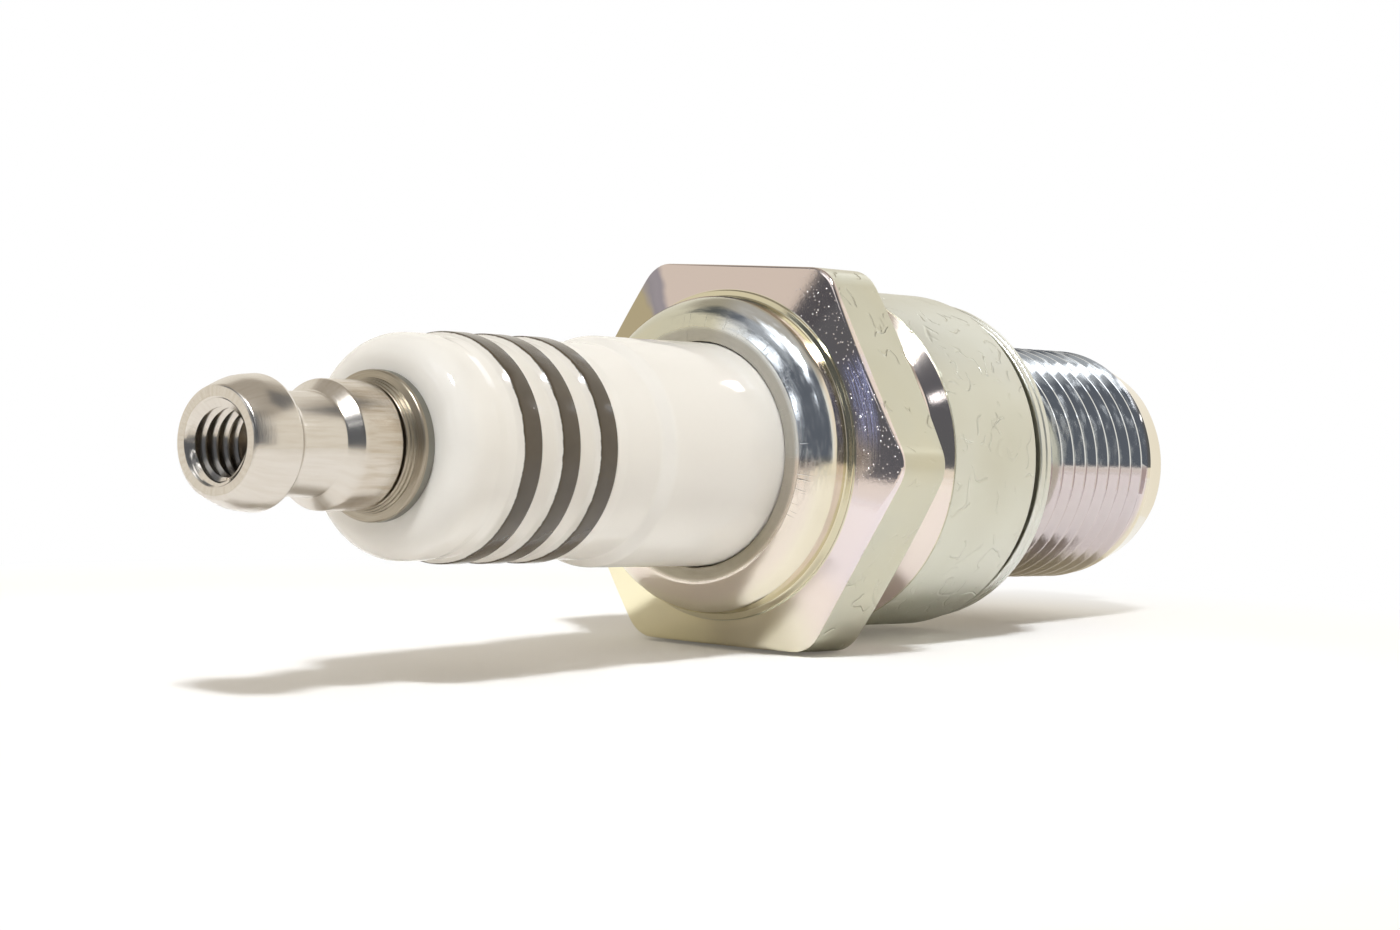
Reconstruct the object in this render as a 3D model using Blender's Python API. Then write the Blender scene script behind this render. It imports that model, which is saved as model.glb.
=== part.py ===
"""Long-reach 14 mm spark plug with a removable terminal nut, lying on one flat of its hexagon.

Almost every piece is turned about the plug's axis, so a piece is one outline in station and
radius. Stations run along the axis from the hexagon's front face, which is station zero: negative
towards the terminal, positive towards the spark gap. The plug's axis lies along +X in the world.
"""
import math

import bmesh
import bpy
from mathutils import Matrix, Vector

MM = 0.001

# Clearances
SEAT_GAP = 0.2 * MM
GASKET_PLAY = 0.25 * MM

# Metal shell: crimped collar, hexagon, groove and seat flange
HEX_SIDES = 6
HEX_FLATS = 20.8 * MM
HEX_LENGTH = 4.5 * MM
HEX_CORNER_ROUND = 1.8 * MM
HEX_FACE_SLOPE = 0.21
COLLAR_LENGTH = 2.7 * MM
COLLAR_WALL = 1.15 * MM
COLLAR_ROLL = 1.7 * MM
LIP_THICKNESS = 0.9 * MM
BEAD_PROUD = 0.35 * MM
BEAD_LENGTH = 0.45 * MM
GROOVE_LENGTH = 3.8 * MM
GROOVE_DEPTH = 0.75 * MM
GROOVE_SHOULDER = 0.2 * MM
FLANGE_RADIUS = 9.55 * MM
FLANGE_LENGTH = 8.0 * MM
FLANGE_EDGE = 0.3 * MM

# Metal shell: neck, threaded shank and bored inside
THREAD_RADIUS = 6.95 * MM
THREAD_PITCH = 1.25 * MM
THREAD_DEPTH = 0.75 * MM
THREAD_CREST = 0.16 * MM
REACH = 19.0 * MM
NECK_LENGTH = 2.6 * MM
NECK_DEPTH = 0.45 * MM
THREAD_START = 0.45 * MM
END_TAPER_LENGTH = 2.0 * MM
END_TAPER_DEPTH = 1.2 * MM
SHANK_WALL = 2.35 * MM
LEDGE_SLOPE = 0.45
LEDGE_SETBACK = 3.2 * MM

# Crush gasket, a ring of sheet steel folded to two layers and captive on the neck
GASKET_RADIUS = 9.25 * MM
GASKET_HEIGHT = 2.0 * MM
GASKET_FOLD_DEPTH = 0.35 * MM
GASKET_FOLD_WIDTH = 0.3 * MM
GASKET_EDGE = 0.3 * MM

# Insulator outside
HEAD_LENGTH = 26.7 * MM
HEAD_RADIUS = 5.63 * MM
HEAD_ROUND = 1.45 * MM
RIB_COUNT = 3
RIB_PITCH = 2.86 * MM
RIB_WIDTH = 1.17 * MM
RIB_HEIGHT = 0.17 * MM
FIRST_RIB = 3.8 * MM
BODY_RADIUS = 6.05 * MM
BODY_STEP_SETBACK = 9.6 * MM
BODY_STEP_LENGTH = 0.7 * MM
INNER_FLANGE_EDGE = 0.4 * MM
NOSE_ROOT_GAP = 0.55 * MM
NOSE_TIP_WALL = 1.25 * MM
NOSE_SETBACK = 0.3 * MM
NOSE_ROUND = 0.5 * MM

# Packing between the insulator and the shell
RING_WIRE = 1.05 * MM
TALC_LENGTH = 3.6 * MM
WASHER_THICKNESS = 0.5 * MM

# Terminal: stud with its flange, and the nut on it
POST_RADIUS = 1.75 * MM
POST_LENGTH = 6.7 * MM
POST_CHAMFER = 0.3 * MM
STUD_COLLAR_RADIUS = 3.3 * MM
STUD_COLLAR_LENGTH = 1.1 * MM
STUD_FLANGE_RADIUS = 3.73 * MM
STUD_FLANGE_LENGTH = 0.5 * MM
STUD_LENGTH = 14.0 * MM
NUT_RADIUS = 3.18 * MM
NUT_LENGTH = 9.33 * MM
NUT_MOUTH_WALL = 0.6 * MM
NUT_MOUTH_ROUND = 0.15 * MM
NUT_CROWN = 2.7 * MM
NUT_CROWN_ROUND = 3.0 * MM
NUT_WAIST = 4.85 * MM
NUT_WAIST_DEPTH = 0.8 * MM
NUT_WAIST_ROUND = 0.7 * MM
NUT_SHOULDER = 6.2 * MM
NUT_SHOULDER_ROUND = 0.6 * MM
NUT_FOOT_ROUND = 0.15 * MM

# Sealed column inside the insulator
COLUMN_RADIUS = 2.0 * MM
UPPER_SEAL_LENGTH = 3.0 * MM
RESISTOR_LENGTH = 9.0 * MM
LOWER_SEAL_LENGTH = 5.6 * MM
HEAD_SEAT_SLOPE = 1.0

# Centre electrode with its core and fine-wire tip
ELECTRODE_RADIUS = 1.2 * MM
ELECTRODE_HEAD_LENGTH = 1.6 * MM
ELECTRODE_PROUD = 1.0 * MM
ELECTRODE_TAPER = 0.75 * MM
ELECTRODE_END_RADIUS = 0.5 * MM
CORE_RADIUS = 0.65 * MM
CORE_END_WALL = 2.6 * MM
TIP_RADIUS = 0.3 * MM
TIP_LENGTH = 0.8 * MM

# Ground electrode
SPARK_GAP = 0.8 * MM
STRAP_THICKNESS = 1.3 * MM
STRAP_WIDTH = 2.6 * MM
STRAP_INNER_BEND = 0.7 * MM
STRAP_OVERLAP = 0.8 * MM
STRAP_TAPER_LENGTH = 2.4 * MM
STRAP_END_WIDTH = 1.5 * MM

# Facets
TURN_STEPS = 40
SLIM_STEPS = 28
ARC_STEPS = 4
GROOVE_STEPS = 8
SMOOTH_ANGLE = math.radians(32)
MERGE = 1e-7
CUT_THROUGH = 1.0 * MM

# Stations of the shell
LIP = -COLLAR_LENGTH
LIP_UNDERSIDE = LIP + LIP_THICKNESS
FLANGE_FRONT = HEX_LENGTH + GROOVE_LENGTH
FLANGE_REAR = FLANGE_FRONT + FLANGE_LENGTH
THREAD_FRONT = FLANGE_REAR + NECK_LENGTH
SHELL_END = FLANGE_REAR + REACH
LEDGE = FLANGE_REAR - LEDGE_SETBACK

# Radii that follow from the fits
PACKING_SPACE = RING_WIRE + 2 * SEAT_GAP
SHELL_BORE = BODY_RADIUS + PACKING_SPACE
INNER_FLANGE = SHELL_BORE - SEAT_GAP
COLLAR_RADIUS = SHELL_BORE + COLLAR_WALL
BEAD_RADIUS = COLLAR_RADIUS + BEAD_PROUD
NECK_RADIUS = THREAD_RADIUS - NECK_DEPTH
END_RADIUS = THREAD_RADIUS - END_TAPER_DEPTH
SHANK_BORE = THREAD_RADIUS - SHANK_WALL
NOSE_ROOT = SHANK_BORE - NOSE_ROOT_GAP
COLUMN_BORE = COLUMN_RADIUS + SEAT_GAP
NOSE_BORE = ELECTRODE_RADIUS + SEAT_GAP
NOSE_TIP = NOSE_BORE + NOSE_TIP_WALL
NUT_BORE = POST_RADIUS + SEAT_GAP
GASKET_BORE = NECK_RADIUS + GASKET_PLAY

# One pitch of the thread: along the axis, and sunk under the crest
THREAD_PROFILE = [(0, 0), (THREAD_CREST, 0), ((THREAD_PITCH + THREAD_CREST) / 2, THREAD_DEPTH)]

# Stations of the terminal, counted out from the insulator's head
HEAD = -HEAD_LENGTH
STUD_FLANGE_REAR = HEAD - SEAT_GAP
STUD_FLANGE_FRONT = STUD_FLANGE_REAR - STUD_FLANGE_LENGTH
STUD_COLLAR_FRONT = STUD_FLANGE_FRONT - STUD_COLLAR_LENGTH
POST_TIP = STUD_COLLAR_FRONT - POST_LENGTH
NUT_FOOT = STUD_COLLAR_FRONT - SEAT_GAP
NUT_MOUTH = NUT_FOOT - NUT_LENGTH

# Stations of the packing, counted in from the crimped lip
UPPER_RING = LIP_UNDERSIDE + SEAT_GAP + RING_WIRE / 2
TALC_FRONT = UPPER_RING + RING_WIRE / 2 + SEAT_GAP
TALC_REAR = TALC_FRONT + TALC_LENGTH
LOWER_RING = TALC_REAR + SEAT_GAP + RING_WIRE / 2
INNER_FLANGE_FRONT = LOWER_RING + RING_WIRE / 2 + SEAT_GAP

# Stations of the sealed column, counted in from the stud
STUD_END = STUD_FLANGE_REAR + STUD_LENGTH
UPPER_SEAL_FRONT = STUD_END + SEAT_GAP
RESISTOR_FRONT = UPPER_SEAL_FRONT + UPPER_SEAL_LENGTH + SEAT_GAP
LOWER_SEAL_FRONT = RESISTOR_FRONT + RESISTOR_LENGTH + SEAT_GAP
ELECTRODE_HEAD = LOWER_SEAL_FRONT + LOWER_SEAL_LENGTH + SEAT_GAP
ELECTRODE_SEAT = ELECTRODE_HEAD + ELECTRODE_HEAD_LENGTH

# Stations of the firing end
NOSE_END = SHELL_END - NOSE_SETBACK
ELECTRODE_END = SHELL_END + ELECTRODE_PROUD
TIP_FRONT = ELECTRODE_END + SEAT_GAP
TIP_END = TIP_FRONT + TIP_LENGTH
STRAP_FRONT = SHELL_END + SEAT_GAP
STRAP_INSIDE = TIP_END + SPARK_GAP
STRAP_OUTSIDE = STRAP_INSIDE + STRAP_THICKNESS


def clear_scene():
    for old in list(bpy.data.objects):
        bpy.data.objects.remove(old, do_unlink=True)


def finish(name, colour, roughness, metallic):
    material = bpy.data.materials.new(name)
    material.use_nodes = True
    shader = material.node_tree.nodes["Principled BSDF"]
    shader.inputs["Base Color"].default_value = (*colour, 1.0)
    shader.inputs["Roughness"].default_value = roughness
    shader.inputs["Metallic"].default_value = metallic
    material.diffuse_color = (*colour, 1.0)
    return material


def rounded(corners, arc_steps=ARC_STEPS):
    """Outline through corners of (station, radius, fillet), with an arc wherever a fillet is given."""
    outline = []
    for i, (station, radius, fillet) in enumerate(corners):
        here = Vector((station, radius))
        if fillet == 0:
            outline.append(here)
            continue
        back = (Vector(corners[i - 1][:2]) - here).normalized()
        ahead = (Vector(corners[(i + 1) % len(corners)][:2]) - here).normalized()
        half = back.angle(ahead) / 2
        centre = here + (back + ahead).normalized() * fillet / math.sin(half)
        spoke = here + back * fillet / math.tan(half) - centre
        side = 1 if back.cross(ahead) < 0 else -1
        sweep = side * (math.pi - 2 * half)
        for k in range(arc_steps + 1):
            outline.append(centre + Matrix.Rotation(sweep * k / arc_steps, 2) @ spoke)
    return outline


def turned_mesh(name, outline, steps):
    """Closed mesh spun about the X axis; an outline that ends on the axis is left open there."""
    shape = bmesh.new()
    rim = [shape.verts.new((station, 0.0, radius)) for station, radius in outline]
    on_axis = abs(outline[0][1]) < MERGE and abs(outline[-1][1]) < MERGE
    pairs = list(zip(rim, rim[1:]))
    if not on_axis:
        pairs.append((rim[-1], rim[0]))
    edges = [shape.edges.new(pair) for pair in pairs]
    bmesh.ops.spin(
        shape, geom=rim + edges, cent=(0, 0, 0), axis=(1, 0, 0),
        angle=2 * math.pi, steps=steps, use_merge=True,
    )
    bmesh.ops.remove_doubles(shape, verts=shape.verts, dist=MERGE)
    bmesh.ops.recalc_face_normals(shape, faces=shape.faces)
    mesh = bpy.data.meshes.new(name)
    shape.to_mesh(mesh)
    shape.free()
    return mesh


def place(name, mesh, material=None):
    piece = bpy.data.objects.new(name, mesh)
    bpy.context.collection.objects.link(piece)
    if material is None:
        piece.hide_render = True
        piece.display_type = "WIRE"
    else:
        mesh.materials.append(material)
        mesh.shade_smooth()
        mesh.set_sharp_from_angle(angle=SMOOTH_ANGLE)
    return piece


def turned(name, outline, material=None, steps=TURN_STEPS):
    return place(name, turned_mesh(name, outline, steps), material)


def boolean(piece, operation, tool):
    cut = piece.modifiers.new(tool.name, "BOOLEAN")
    cut.operation = operation
    cut.object = tool


def hex_face(radius):
    """How far the hexagon's coned faces stand back at a radius, measured from the middle of a flat."""
    return (radius - HEX_FLATS / 2) * HEX_FACE_SLOPE


def hexagon(name):
    """Six-sided bar with two flats level, long corners rounded and both faces coned."""
    corner = HEX_FLATS / 2 / math.cos(math.pi / HEX_SIDES)
    outline = []
    for k in range(HEX_SIDES):
        turn = 2 * math.pi * k / HEX_SIDES
        outline.append((corner * math.cos(turn), corner * math.sin(turn), HEX_CORNER_ROUND))
    cone_reach = HEX_LENGTH / 2 / HEX_FACE_SLOPE
    shape = bmesh.new()
    rim = [shape.verts.new((-HEX_LENGTH / 2, y, z)) for y, z in rounded(outline)]
    face = shape.faces.new(rim)
    lifted = bmesh.ops.extrude_face_region(shape, geom=[face])["geom"]
    far = [part for part in lifted if isinstance(part, bmesh.types.BMVert)]
    bmesh.ops.translate(shape, verts=far, vec=(2 * HEX_LENGTH, 0, 0))
    bmesh.ops.recalc_face_normals(shape, faces=shape.faces)
    mesh = bpy.data.meshes.new(name)
    shape.to_mesh(mesh)
    shape.free()
    bar = place(name, mesh)
    cone = turned("face_cone", [
        (hex_face(SHELL_BORE), 0),
        (hex_face(SHELL_BORE), SHELL_BORE),
        (HEX_LENGTH / 2, HEX_FLATS / 2 + cone_reach),
        (HEX_LENGTH - hex_face(SHELL_BORE), SHELL_BORE),
        (HEX_LENGTH - hex_face(SHELL_BORE), 0),
    ])
    boolean(bar, "INTERSECT", cone)
    return bar


def groove():
    """Hollow between the hexagon and the seat flange, a shallow parabola."""
    start = FLANGE_RADIUS - GROOVE_SHOULDER
    points = []
    for k in range(GROOVE_STEPS + 1):
        t = k / GROOVE_STEPS
        hollow = 4 * GROOVE_DEPTH * t * (1 - t)
        points.append((HEX_LENGTH + GROOVE_LENGTH * t, start + GROOVE_SHOULDER * t - hollow))
    return points


def thread_radius(station, sunk):
    """Radius of the shank where it lies sunk under the crest; it runs out of the neck into the end cone."""
    run_in = min((station - THREAD_FRONT) / THREAD_START + 1, 1)
    end_cone = END_RADIUS + (SHELL_END - station) * END_TAPER_DEPTH / END_TAPER_LENGTH
    return min(NECK_RADIUS + (THREAD_RADIUS - sunk - NECK_RADIUS) * run_in, end_cone)


def shank_outline(share):
    """Neck and thread at one angle, given as a share of a turn, which moves the thread by so much pitch."""
    foot = (FLANGE_FRONT + FLANGE_REAR) / 2
    start = THREAD_FRONT - THREAD_START
    outline = [(foot, 0), (foot, NECK_RADIUS)]
    for turn in range(math.ceil((SHELL_END - start) / THREAD_PITCH) + 2):
        for along, sunk in THREAD_PROFILE:
            station = start + (turn - 1 + share) * THREAD_PITCH + along
            station = min(max(station, start), SHELL_END)
            outline.append((station, thread_radius(station, sunk)))
    return outline + [(SHELL_END, 0)]


def threaded_shank(name):
    """Neck and right-hand thread, with a foot inside the seat flange.

    Rows past either end of the thread fold up there, and the last angle joins the first a turn further on.
    """
    shape = bmesh.new()
    columns = []
    for k in range(SLIM_STEPS):
        angle = 2 * math.pi * k / SLIM_STEPS
        columns.append([
            shape.verts.new((station, radius * math.cos(angle), radius * math.sin(angle)))
            for station, radius in shank_outline(k / SLIM_STEPS)
        ])
    lead = len(THREAD_PROFILE)
    neck, thread, end = columns[0][:2], columns[0][2:-1], columns[0][-1:]
    columns.append(neck + thread[lead:] + thread[-1:] * lead + end)
    for column, beside in zip(columns, columns[1:]):
        for j in range(len(column) - 1):
            corners = [column[j], column[j + 1], beside[j + 1], beside[j]]
            if beside[j] != beside[j + 1]:
                shape.faces.new(corners)
    bmesh.ops.remove_doubles(shape, verts=shape.verts, dist=MERGE)
    bmesh.ops.recalc_face_normals(shape, faces=shape.faces)
    mesh = bpy.data.meshes.new(name)
    shape.to_mesh(mesh)
    shape.free()
    return place(name, mesh)


def metal_shell(material):
    hollow = groove()
    bead = hex_face(BEAD_RADIUS) - BEAD_LENGTH
    outside = [(LIP, 0)] + rounded([
        (LIP, SHELL_BORE - LIP_THICKNESS, 0),
        (LIP, COLLAR_RADIUS, COLLAR_ROLL),
        (bead, COLLAR_RADIUS, 0),
        (bead, BEAD_RADIUS, BEAD_PROUD / 2),
        (HEX_LENGTH / 2, BEAD_RADIUS, 0),
        (HEX_LENGTH / 2, SHELL_BORE, 0),
    ])[:-1]
    outside += hollow[:-1]
    outside += rounded([
        (*hollow[-2], 0),
        (FLANGE_FRONT, FLANGE_RADIUS, 0),
        (FLANGE_REAR, FLANGE_RADIUS, FLANGE_EDGE),
        (FLANGE_REAR, 0, 0),
    ])[1:]
    shell = turned("metal_shell", outside, material)
    bore = turned("shell_bore", [
        (LIP - CUT_THROUGH, 0),
        (LIP - CUT_THROUGH, BODY_RADIUS + SEAT_GAP),
        (LIP_UNDERSIDE, BODY_RADIUS + SEAT_GAP),
        (LIP_UNDERSIDE, SHELL_BORE),
        (LEDGE, SHELL_BORE),
        (ledge_station(SHANK_BORE), SHANK_BORE),
        (SHELL_END + CUT_THROUGH, SHANK_BORE),
        (SHELL_END + CUT_THROUGH, 0),
    ])
    boolean(shell, "UNION", hexagon("shell_hexagon"))
    boolean(shell, "UNION", threaded_shank("shell_shank"))
    boolean(shell, "DIFFERENCE", bore)
    return shell


def ledge_station(radius):
    """Station of the conical ledge inside the shell, at a radius."""
    return LEDGE + (SHELL_BORE - radius) * LEDGE_SLOPE


def ribs():
    """Crests that lengthen the path over the insulator's head, each with sloping flanks."""
    flank = RIB_HEIGHT
    points = []
    for k in range(RIB_COUNT):
        front = HEAD + FIRST_RIB + k * RIB_PITCH
        rear = front + RIB_WIDTH
        points += [
            (front - flank, HEAD_RADIUS, 0),
            (front, HEAD_RADIUS + RIB_HEIGHT, 0),
            (rear, HEAD_RADIUS + RIB_HEIGHT, 0),
            (rear + flank, HEAD_RADIUS, 0),
        ]
    return points


def insulator(material):
    step = LIP - BODY_STEP_SETBACK
    cone = SEAT_GAP + WASHER_THICKNESS + SEAT_GAP
    outline = rounded([
        (HEAD, COLUMN_BORE, 0),
        (HEAD, HEAD_RADIUS, HEAD_ROUND),
        *ribs(),
        (step, HEAD_RADIUS, 0),
        (step + BODY_STEP_LENGTH, BODY_RADIUS, 0),
        (INNER_FLANGE_FRONT, BODY_RADIUS, 0),
        (INNER_FLANGE_FRONT, INNER_FLANGE, INNER_FLANGE_EDGE),
        (ledge_station(INNER_FLANGE) - cone, INNER_FLANGE, 0),
        (ledge_station(NOSE_ROOT) - cone, NOSE_ROOT, 0),
        (NOSE_END, NOSE_TIP, NOSE_ROUND),
        (NOSE_END, NOSE_BORE, 0),
        (ELECTRODE_SEAT + SEAT_GAP + (COLUMN_BORE - NOSE_BORE) * HEAD_SEAT_SLOPE, NOSE_BORE, 0),
        (ELECTRODE_SEAT + SEAT_GAP, COLUMN_BORE, 0),
    ])
    return turned("insulator", outline, material)


def packing_ring(name, station, material):
    """Ring of round wire in the space between the insulator and the shell."""
    middle = BODY_RADIUS + PACKING_SPACE / 2
    count = 2 * ARC_STEPS
    outline = []
    for k in range(count):
        turn = 2 * math.pi * k / count
        outline.append((
            station + RING_WIRE / 2 * math.cos(turn),
            middle + RING_WIRE / 2 * math.sin(turn),
        ))
    return turned(name, outline, material, SLIM_STEPS)


def talc_packing(material):
    inner = BODY_RADIUS + SEAT_GAP
    outer = SHELL_BORE - SEAT_GAP
    return turned("talc_packing", [
        (TALC_FRONT, inner), (TALC_FRONT, outer), (TALC_REAR, outer), (TALC_REAR, inner),
    ], material)


def seat_washer(material):
    """Coned washer that seals the insulator's shoulder against the shell's ledge."""
    outer = SHELL_BORE - SEAT_GAP
    inner = SHANK_BORE + SEAT_GAP
    near = -SEAT_GAP - WASHER_THICKNESS
    return turned("seat_washer", [
        (ledge_station(inner) + near, inner),
        (ledge_station(outer) + near, outer),
        (ledge_station(outer) - SEAT_GAP, outer),
        (ledge_station(inner) - SEAT_GAP, inner),
    ], material)


def terminal_stud(material):
    outline = [(POST_TIP, 0)] + rounded([
        (POST_TIP, POST_RADIUS - POST_CHAMFER, 0),
        (POST_TIP + POST_CHAMFER, POST_RADIUS, 0),
        (STUD_COLLAR_FRONT, POST_RADIUS, 0),
        (STUD_COLLAR_FRONT, STUD_COLLAR_RADIUS, 0),
        (STUD_FLANGE_FRONT, STUD_COLLAR_RADIUS, 0),
        (STUD_FLANGE_FRONT, STUD_FLANGE_RADIUS, 0),
        (STUD_FLANGE_REAR, STUD_FLANGE_RADIUS, 0),
        (STUD_FLANGE_REAR, COLUMN_RADIUS, 0),
        (STUD_END - POST_CHAMFER, COLUMN_RADIUS, 0),
        (STUD_END, COLUMN_RADIUS - POST_CHAMFER, 0),
    ]) + [(STUD_END, 0)]
    return turned("terminal_stud", outline, material, SLIM_STEPS)


def terminal_nut(material):
    """Barrel head, waist and cylindrical foot, bored through for the post."""
    outline = rounded([
        (NUT_MOUTH, NUT_BORE, 0),
        (NUT_MOUTH, NUT_BORE + NUT_MOUTH_WALL, NUT_MOUTH_ROUND),
        (NUT_MOUTH + NUT_CROWN, NUT_RADIUS, NUT_CROWN_ROUND),
        (NUT_MOUTH + NUT_WAIST, NUT_RADIUS - NUT_WAIST_DEPTH, NUT_WAIST_ROUND),
        (NUT_MOUTH + NUT_SHOULDER, NUT_RADIUS, NUT_SHOULDER_ROUND),
        (NUT_FOOT, NUT_RADIUS, NUT_FOOT_ROUND),
        (NUT_FOOT, NUT_BORE, 0),
    ])
    return turned("terminal_nut", outline, material, SLIM_STEPS)


def column_slug(name, front, length, material):
    return turned(name, [
        (front, 0), (front, COLUMN_RADIUS), (front + length, COLUMN_RADIUS), (front + length, 0),
    ], material, SLIM_STEPS)


def center_electrode(material):
    """Jacket with a head that sits in the insulator and a deep blind hole for its core."""
    core_bore = CORE_RADIUS + SEAT_GAP
    core_end = ELECTRODE_END - CORE_END_WALL
    neck = ELECTRODE_SEAT + (COLUMN_RADIUS - ELECTRODE_RADIUS) * HEAD_SEAT_SLOPE
    outline = [
        (core_end, 0),
        (core_end, core_bore),
        (ELECTRODE_HEAD, core_bore),
        (ELECTRODE_HEAD, COLUMN_RADIUS),
        (ELECTRODE_SEAT, COLUMN_RADIUS),
        (neck, ELECTRODE_RADIUS),
        (ELECTRODE_END - ELECTRODE_TAPER, ELECTRODE_RADIUS),
        (ELECTRODE_END, ELECTRODE_END_RADIUS),
        (ELECTRODE_END, 0),
    ]
    return turned("center_electrode", outline, material, SLIM_STEPS)


def copper_core(material):
    rear = ELECTRODE_END - CORE_END_WALL - SEAT_GAP
    return turned("copper_core", [
        (ELECTRODE_HEAD, 0), (ELECTRODE_HEAD, CORE_RADIUS), (rear, CORE_RADIUS), (rear, 0),
    ], material, SLIM_STEPS)


def electrode_tip(material):
    return turned("electrode_tip", [
        (TIP_FRONT, 0), (TIP_FRONT, TIP_RADIUS), (TIP_END, TIP_RADIUS), (TIP_END, 0),
    ], material, SLIM_STEPS)


def ground_electrode(material):
    """Strap that stands on the shell's end, bends over the tip and narrows to its free end."""
    middle = (SHANK_BORE + END_RADIUS) / 2
    inside = middle - STRAP_THICKNESS / 2
    outside = middle + STRAP_THICKNESS / 2
    free_end = -STRAP_OVERLAP
    taper = free_end + STRAP_TAPER_LENGTH
    outline = rounded([
        (STRAP_FRONT, inside, 0),
        (STRAP_INSIDE, inside, STRAP_INNER_BEND),
        (STRAP_INSIDE, taper, 0),
        (STRAP_INSIDE, free_end, 0),
        (STRAP_OUTSIDE, free_end, 0),
        (STRAP_OUTSIDE, taper, 0),
        (STRAP_OUTSIDE, outside, STRAP_INNER_BEND + STRAP_THICKNESS),
        (STRAP_FRONT, outside, 0),
    ])
    shape = bmesh.new()
    rim = [shape.verts.new((x, y, -STRAP_WIDTH / 2)) for x, y in outline]
    side = shape.faces.new(rim)
    lifted = bmesh.ops.extrude_face_region(shape, geom=[side])["geom"]
    corners = [part for part in lifted if isinstance(part, bmesh.types.BMVert)]
    bmesh.ops.translate(shape, verts=corners, vec=(0, 0, STRAP_WIDTH))
    for vertex in shape.verts:
        if vertex.co.y < free_end + MERGE:
            vertex.co.z *= STRAP_END_WIDTH / STRAP_WIDTH
    bmesh.ops.triangulate(shape, faces=shape.faces)
    bmesh.ops.recalc_face_normals(shape, faces=shape.faces)
    mesh = bpy.data.meshes.new("ground_electrode")
    shape.to_mesh(mesh)
    shape.free()
    return place("ground_electrode", mesh, material)


def gasket(material):
    """Sheet ring folded back on itself: two round edges outside with a crease between them.

    Its inner edges roll back by the depth of the neck, so its faces clear the thread that keeps it on.
    """
    front = FLANGE_REAR + SEAT_GAP
    rear = front + GASKET_HEIGHT
    crease = (front + rear) / 2
    inner_roll = NECK_DEPTH
    outline = rounded([
        (front, GASKET_BORE, inner_roll),
        (front, GASKET_RADIUS, GASKET_EDGE),
        (crease - GASKET_FOLD_WIDTH / 2, GASKET_RADIUS, 0),
        (crease, GASKET_RADIUS - GASKET_FOLD_DEPTH, 0),
        (crease + GASKET_FOLD_WIDTH / 2, GASKET_RADIUS, 0),
        (rear, GASKET_RADIUS, GASKET_EDGE),
        (rear, GASKET_BORE, inner_roll),
    ])
    return turned("gasket", outline, material)


def build():
    nickel = finish("polished_nickel", (0.78, 0.73, 0.66), 0.18, 1.0)
    steel = finish("plain_steel", (0.33, 0.32, 0.29), 0.45, 1.0)
    glaze = finish("white_glaze", (0.87, 0.85, 0.81), 0.12, 0.0)
    zinc = finish("passivated_zinc", (0.74, 0.72, 0.60), 0.25, 1.0)
    sheet = finish("gasket_sheet", (0.76, 0.79, 0.70), 0.35, 1.0)
    wire = finish("packing_wire", (0.55, 0.54, 0.52), 0.4, 1.0)
    talc = finish("pressed_talc", (0.80, 0.79, 0.76), 0.9, 0.0)
    glass = finish("conductive_glass", (0.36, 0.22, 0.15), 0.5, 0.0)
    carbon = finish("resistor_body", (0.05, 0.05, 0.05), 0.7, 0.0)
    alloy = finish("nickel_alloy", (0.52, 0.50, 0.47), 0.4, 1.0)
    copper = finish("copper", (0.72, 0.40, 0.26), 0.35, 1.0)
    tip = finish("hard_wire", (0.66, 0.66, 0.68), 0.3, 1.0)

    terminal_nut(nickel)
    terminal_stud(steel)
    insulator(glaze)
    metal_shell(zinc)
    gasket(sheet)
    packing_ring("upper_packing_ring", UPPER_RING, wire)
    talc_packing(talc)
    packing_ring("lower_packing_ring", LOWER_RING, wire)
    seat_washer(wire)
    column_slug("upper_glass_seal", UPPER_SEAL_FRONT, UPPER_SEAL_LENGTH, glass)
    column_slug("resistor", RESISTOR_FRONT, RESISTOR_LENGTH, carbon)
    column_slug("lower_glass_seal", LOWER_SEAL_FRONT, LOWER_SEAL_LENGTH, glass)
    center_electrode(alloy)
    copper_core(copper)
    electrode_tip(tip)
    ground_electrode(alloy)


def lay_down():
    """Hangs every piece on the plug's axis, which lies half a hexagon above the ground."""
    axis = bpy.data.objects.new("plug_axis", None)
    for piece in bpy.data.objects:
        if piece != axis:
            piece.parent = axis
    bpy.context.collection.objects.link(axis)
    axis.location = (-(NUT_MOUTH + STRAP_OUTSIDE) / 2, 0, HEX_FLATS / 2)


clear_scene()
build()
lay_down()
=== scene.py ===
# %% [markdown]
# # Dressing a spark plug
#
# The frame already holds the plug's solids at their real size. This lesson puts a fine surface on
# them: threads that really wind, a hexagon with coned faces, a crimped collar, glazed ribs, and the
# metal finishes that make a new plug glitter. Almost everything on a plug is turned, so a piece is
# mostly one outline in two numbers: the station along the axis and the radius from it.

# %% Load the frame
import math
from types import SimpleNamespace

import bmesh
import bpy
import numpy as np
from mathutils import Matrix, Vector


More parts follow.
